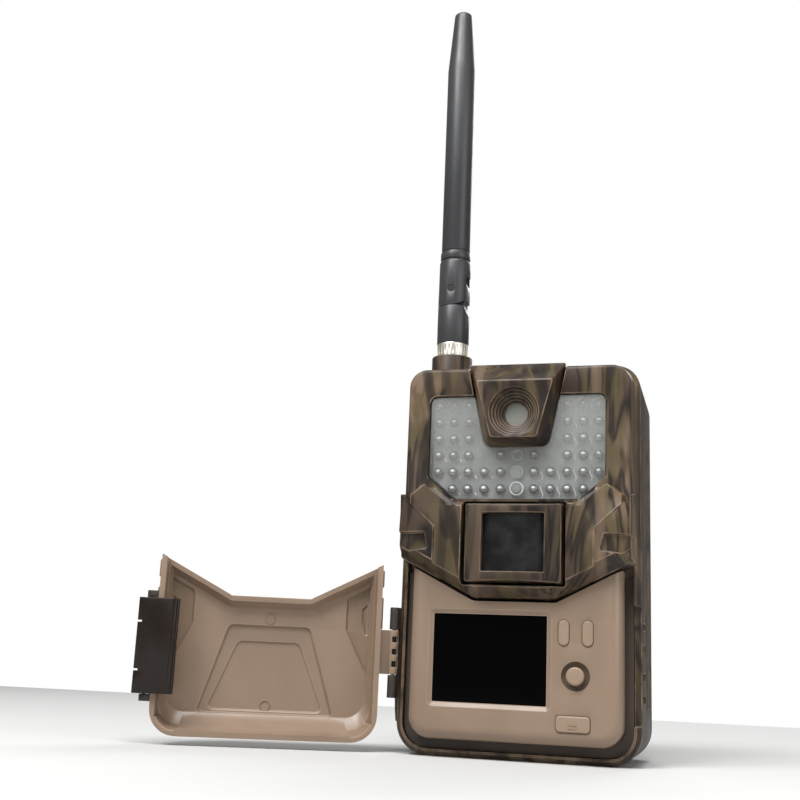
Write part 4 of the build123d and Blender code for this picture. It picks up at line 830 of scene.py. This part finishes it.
button_points = [v.co / MM for v in skins["eject_button"].data.vertices]
button_front = min(p.y for p in button_points)
front_points = [p for p in button_points if p.y < button_front + 0.3]
mark_x = (min(p.x for p in front_points) + max(p.x for p in front_points)) / 2
mark_z = (min(p.z for p in front_points) + max(p.z for p in front_points)) / 2
mark_left, mark_right = mark_x - 1.6, mark_x + 1.6
triangle_foot, triangle_tip = mark_z - 0.3, mark_z + 1.6
bar_low, bar_high = mark_z - 1.5, mark_z - 0.9
triangle = [(mark_left, triangle_foot), (mark_right, triangle_foot), (mark_x, triangle_tip)]
bar = [(mark_left, bar_low), (mark_right, bar_low), (mark_right, bar_high), (mark_left, bar_high)]
eject_mark = raised("eject_mark", (triangle, bar), button_front, 0.22)
eject_mark.data.materials.append(beige_key)
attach(eject_mark, body_of("eject_button"))

open_door = BVHTree.FromPolygons([v.co for v in door_mesh.vertices],
                                 [p.vertices for p in door_mesh.polygons])
unshut = shut.inverted()
inward = unshut.to_3x3() @ Vector((0, 1, 0))
gate_heights, ray_start, gate_sink = (15.0, 48.0), -14.0, 0.1
gate_spots = []
for height in gate_heights:
    seen_from = unshut @ (Vector((0.0, ray_start, height)) * MM - hinge_axis) + hinge_axis
    landed = open_door.ray_cast(seen_from, -inward)[0]
    gate_spots.append(tuple((landed - inward * gate_sink * MM) / MM))
gate_profile = [(1.6, 0), (2.2, 0), (2.2, 0.25), (2.05, 0.42), (1.75, 0.42), (1.6, 0.25), (1.6, 0)]
gate_ring = turned("gate_ring", gate_profile, 28)
gate_turn = (math.radians(-90), 0, math.radians(-door_open_deg))
gates = scatter("gate_marks", gate_ring, gate_spots, beige, 1.0, gate_turn)
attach(gates, body_of("door_shell"))

# %% [markdown]
# A dished collar lines the well round the joystick. Without it the gap round the knob would show the
# board far below. It stands well behind the knob's disc, so the knob can tilt and sink without
# touching it, and it is a turned ring because the well is round.

# %% Joystick collar
panel_front = -20.0
stick_across, stick_height = 22.85, 31.0
collar_profile = [(5.12, -0.1), (5.12, -0.5), (4.5, -1.25), (3.2, -1.7), (2.5, -1.8),
                  (2.5, -1.5), (3.2, -1.4), (4.3, -0.95), (5.12, -0.1)]
collar_piece = turned("joystick_collar_piece", collar_profile, 36)
collar_spot = (stick_across, panel_front, stick_height)
collar = scatter("joystick_collar", collar_piece, [collar_spot], cup_brown, 1.0, face_front)
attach(collar, "case")

# %% [markdown]
# Six screws close the back. Their heads have a cross recess. A boolean could cut it, but it leaves
# long thin triangles. Here the head's top is a flat ring of triangles between a circle and a cross,
# and the cross goes down to a floor, so the piece is one clean closed mesh. Geometry Nodes then place
# one head in each counterbore.


# %% Screw heads
def cross_head(name, radius, thickness, depth, arm, half_arm, sides=24):
    """Closed screw head with a cross recess; its top looks along local Z."""
    angles = [math.tau * i / sides for i in range(sides)]
    circle = [(radius * math.cos(a), radius * math.sin(a)) for a in angles]
    corner = [(arm, -half_arm), (arm, half_arm), (half_arm, half_arm)]
    cross = []
    for quarter in range(4):
        turn_c, turn_s = round(math.cos(quarter * math.pi / 2)), round(math.sin(quarter * math.pi / 2))
        cross += [(x * turn_c - y * turn_s, x * turn_s + y * turn_c) for x, y in corner]
    work = bmesh.new()

    def ring(points, height, shrink=1.0):
        return [work.verts.new((x * shrink * MM, y * shrink * MM, height * MM)) for x, y in points]

    crown_share, pit_share, chamfer = 0.88, 0.7, 0.25
    rim, crown = ring(circle, -chamfer), ring(circle, 0.0, crown_share)
    mouth, pit = ring(cross, 0.0), ring(cross, -depth, pit_share)
    foot = ring(circle, -thickness)
    flat_points = [[(x * crown_share, y * crown_share, 0) for x, y in circle],
                   [(x, y, 0) for x, y in cross]]
    all_verts = crown + mouth
    for triangle in tessellate_polygon([[Vector(p) for p in loop] for loop in flat_points]):
        work.faces.new([all_verts[i] for i in triangle])
    for low, high in ((foot, rim), (rim, crown), (mouth, pit)):
        bridge(work, low, high)
    work.faces.new(pit)
    work.faces.new(foot)
    return as_object(work, name)


screw_across, back_face, head_sink = 37.5, 44.0, 0.3
screw_places = [(side * screw_across, back_face - head_sink, height)
                for side in (-1, 1) for height in (20.0, 74.0, 134.0)]
head = cross_head("screw_head", radius=2.5, thickness=0.9, depth=0.8, arm=1.5, half_arm=0.32)
face_back = (math.radians(-90), math.radians(20), 0)
screws = scatter("back_screws", head, screw_places, black_steel, 1.0, face_back)
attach(screws, "case")
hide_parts("case_screws")
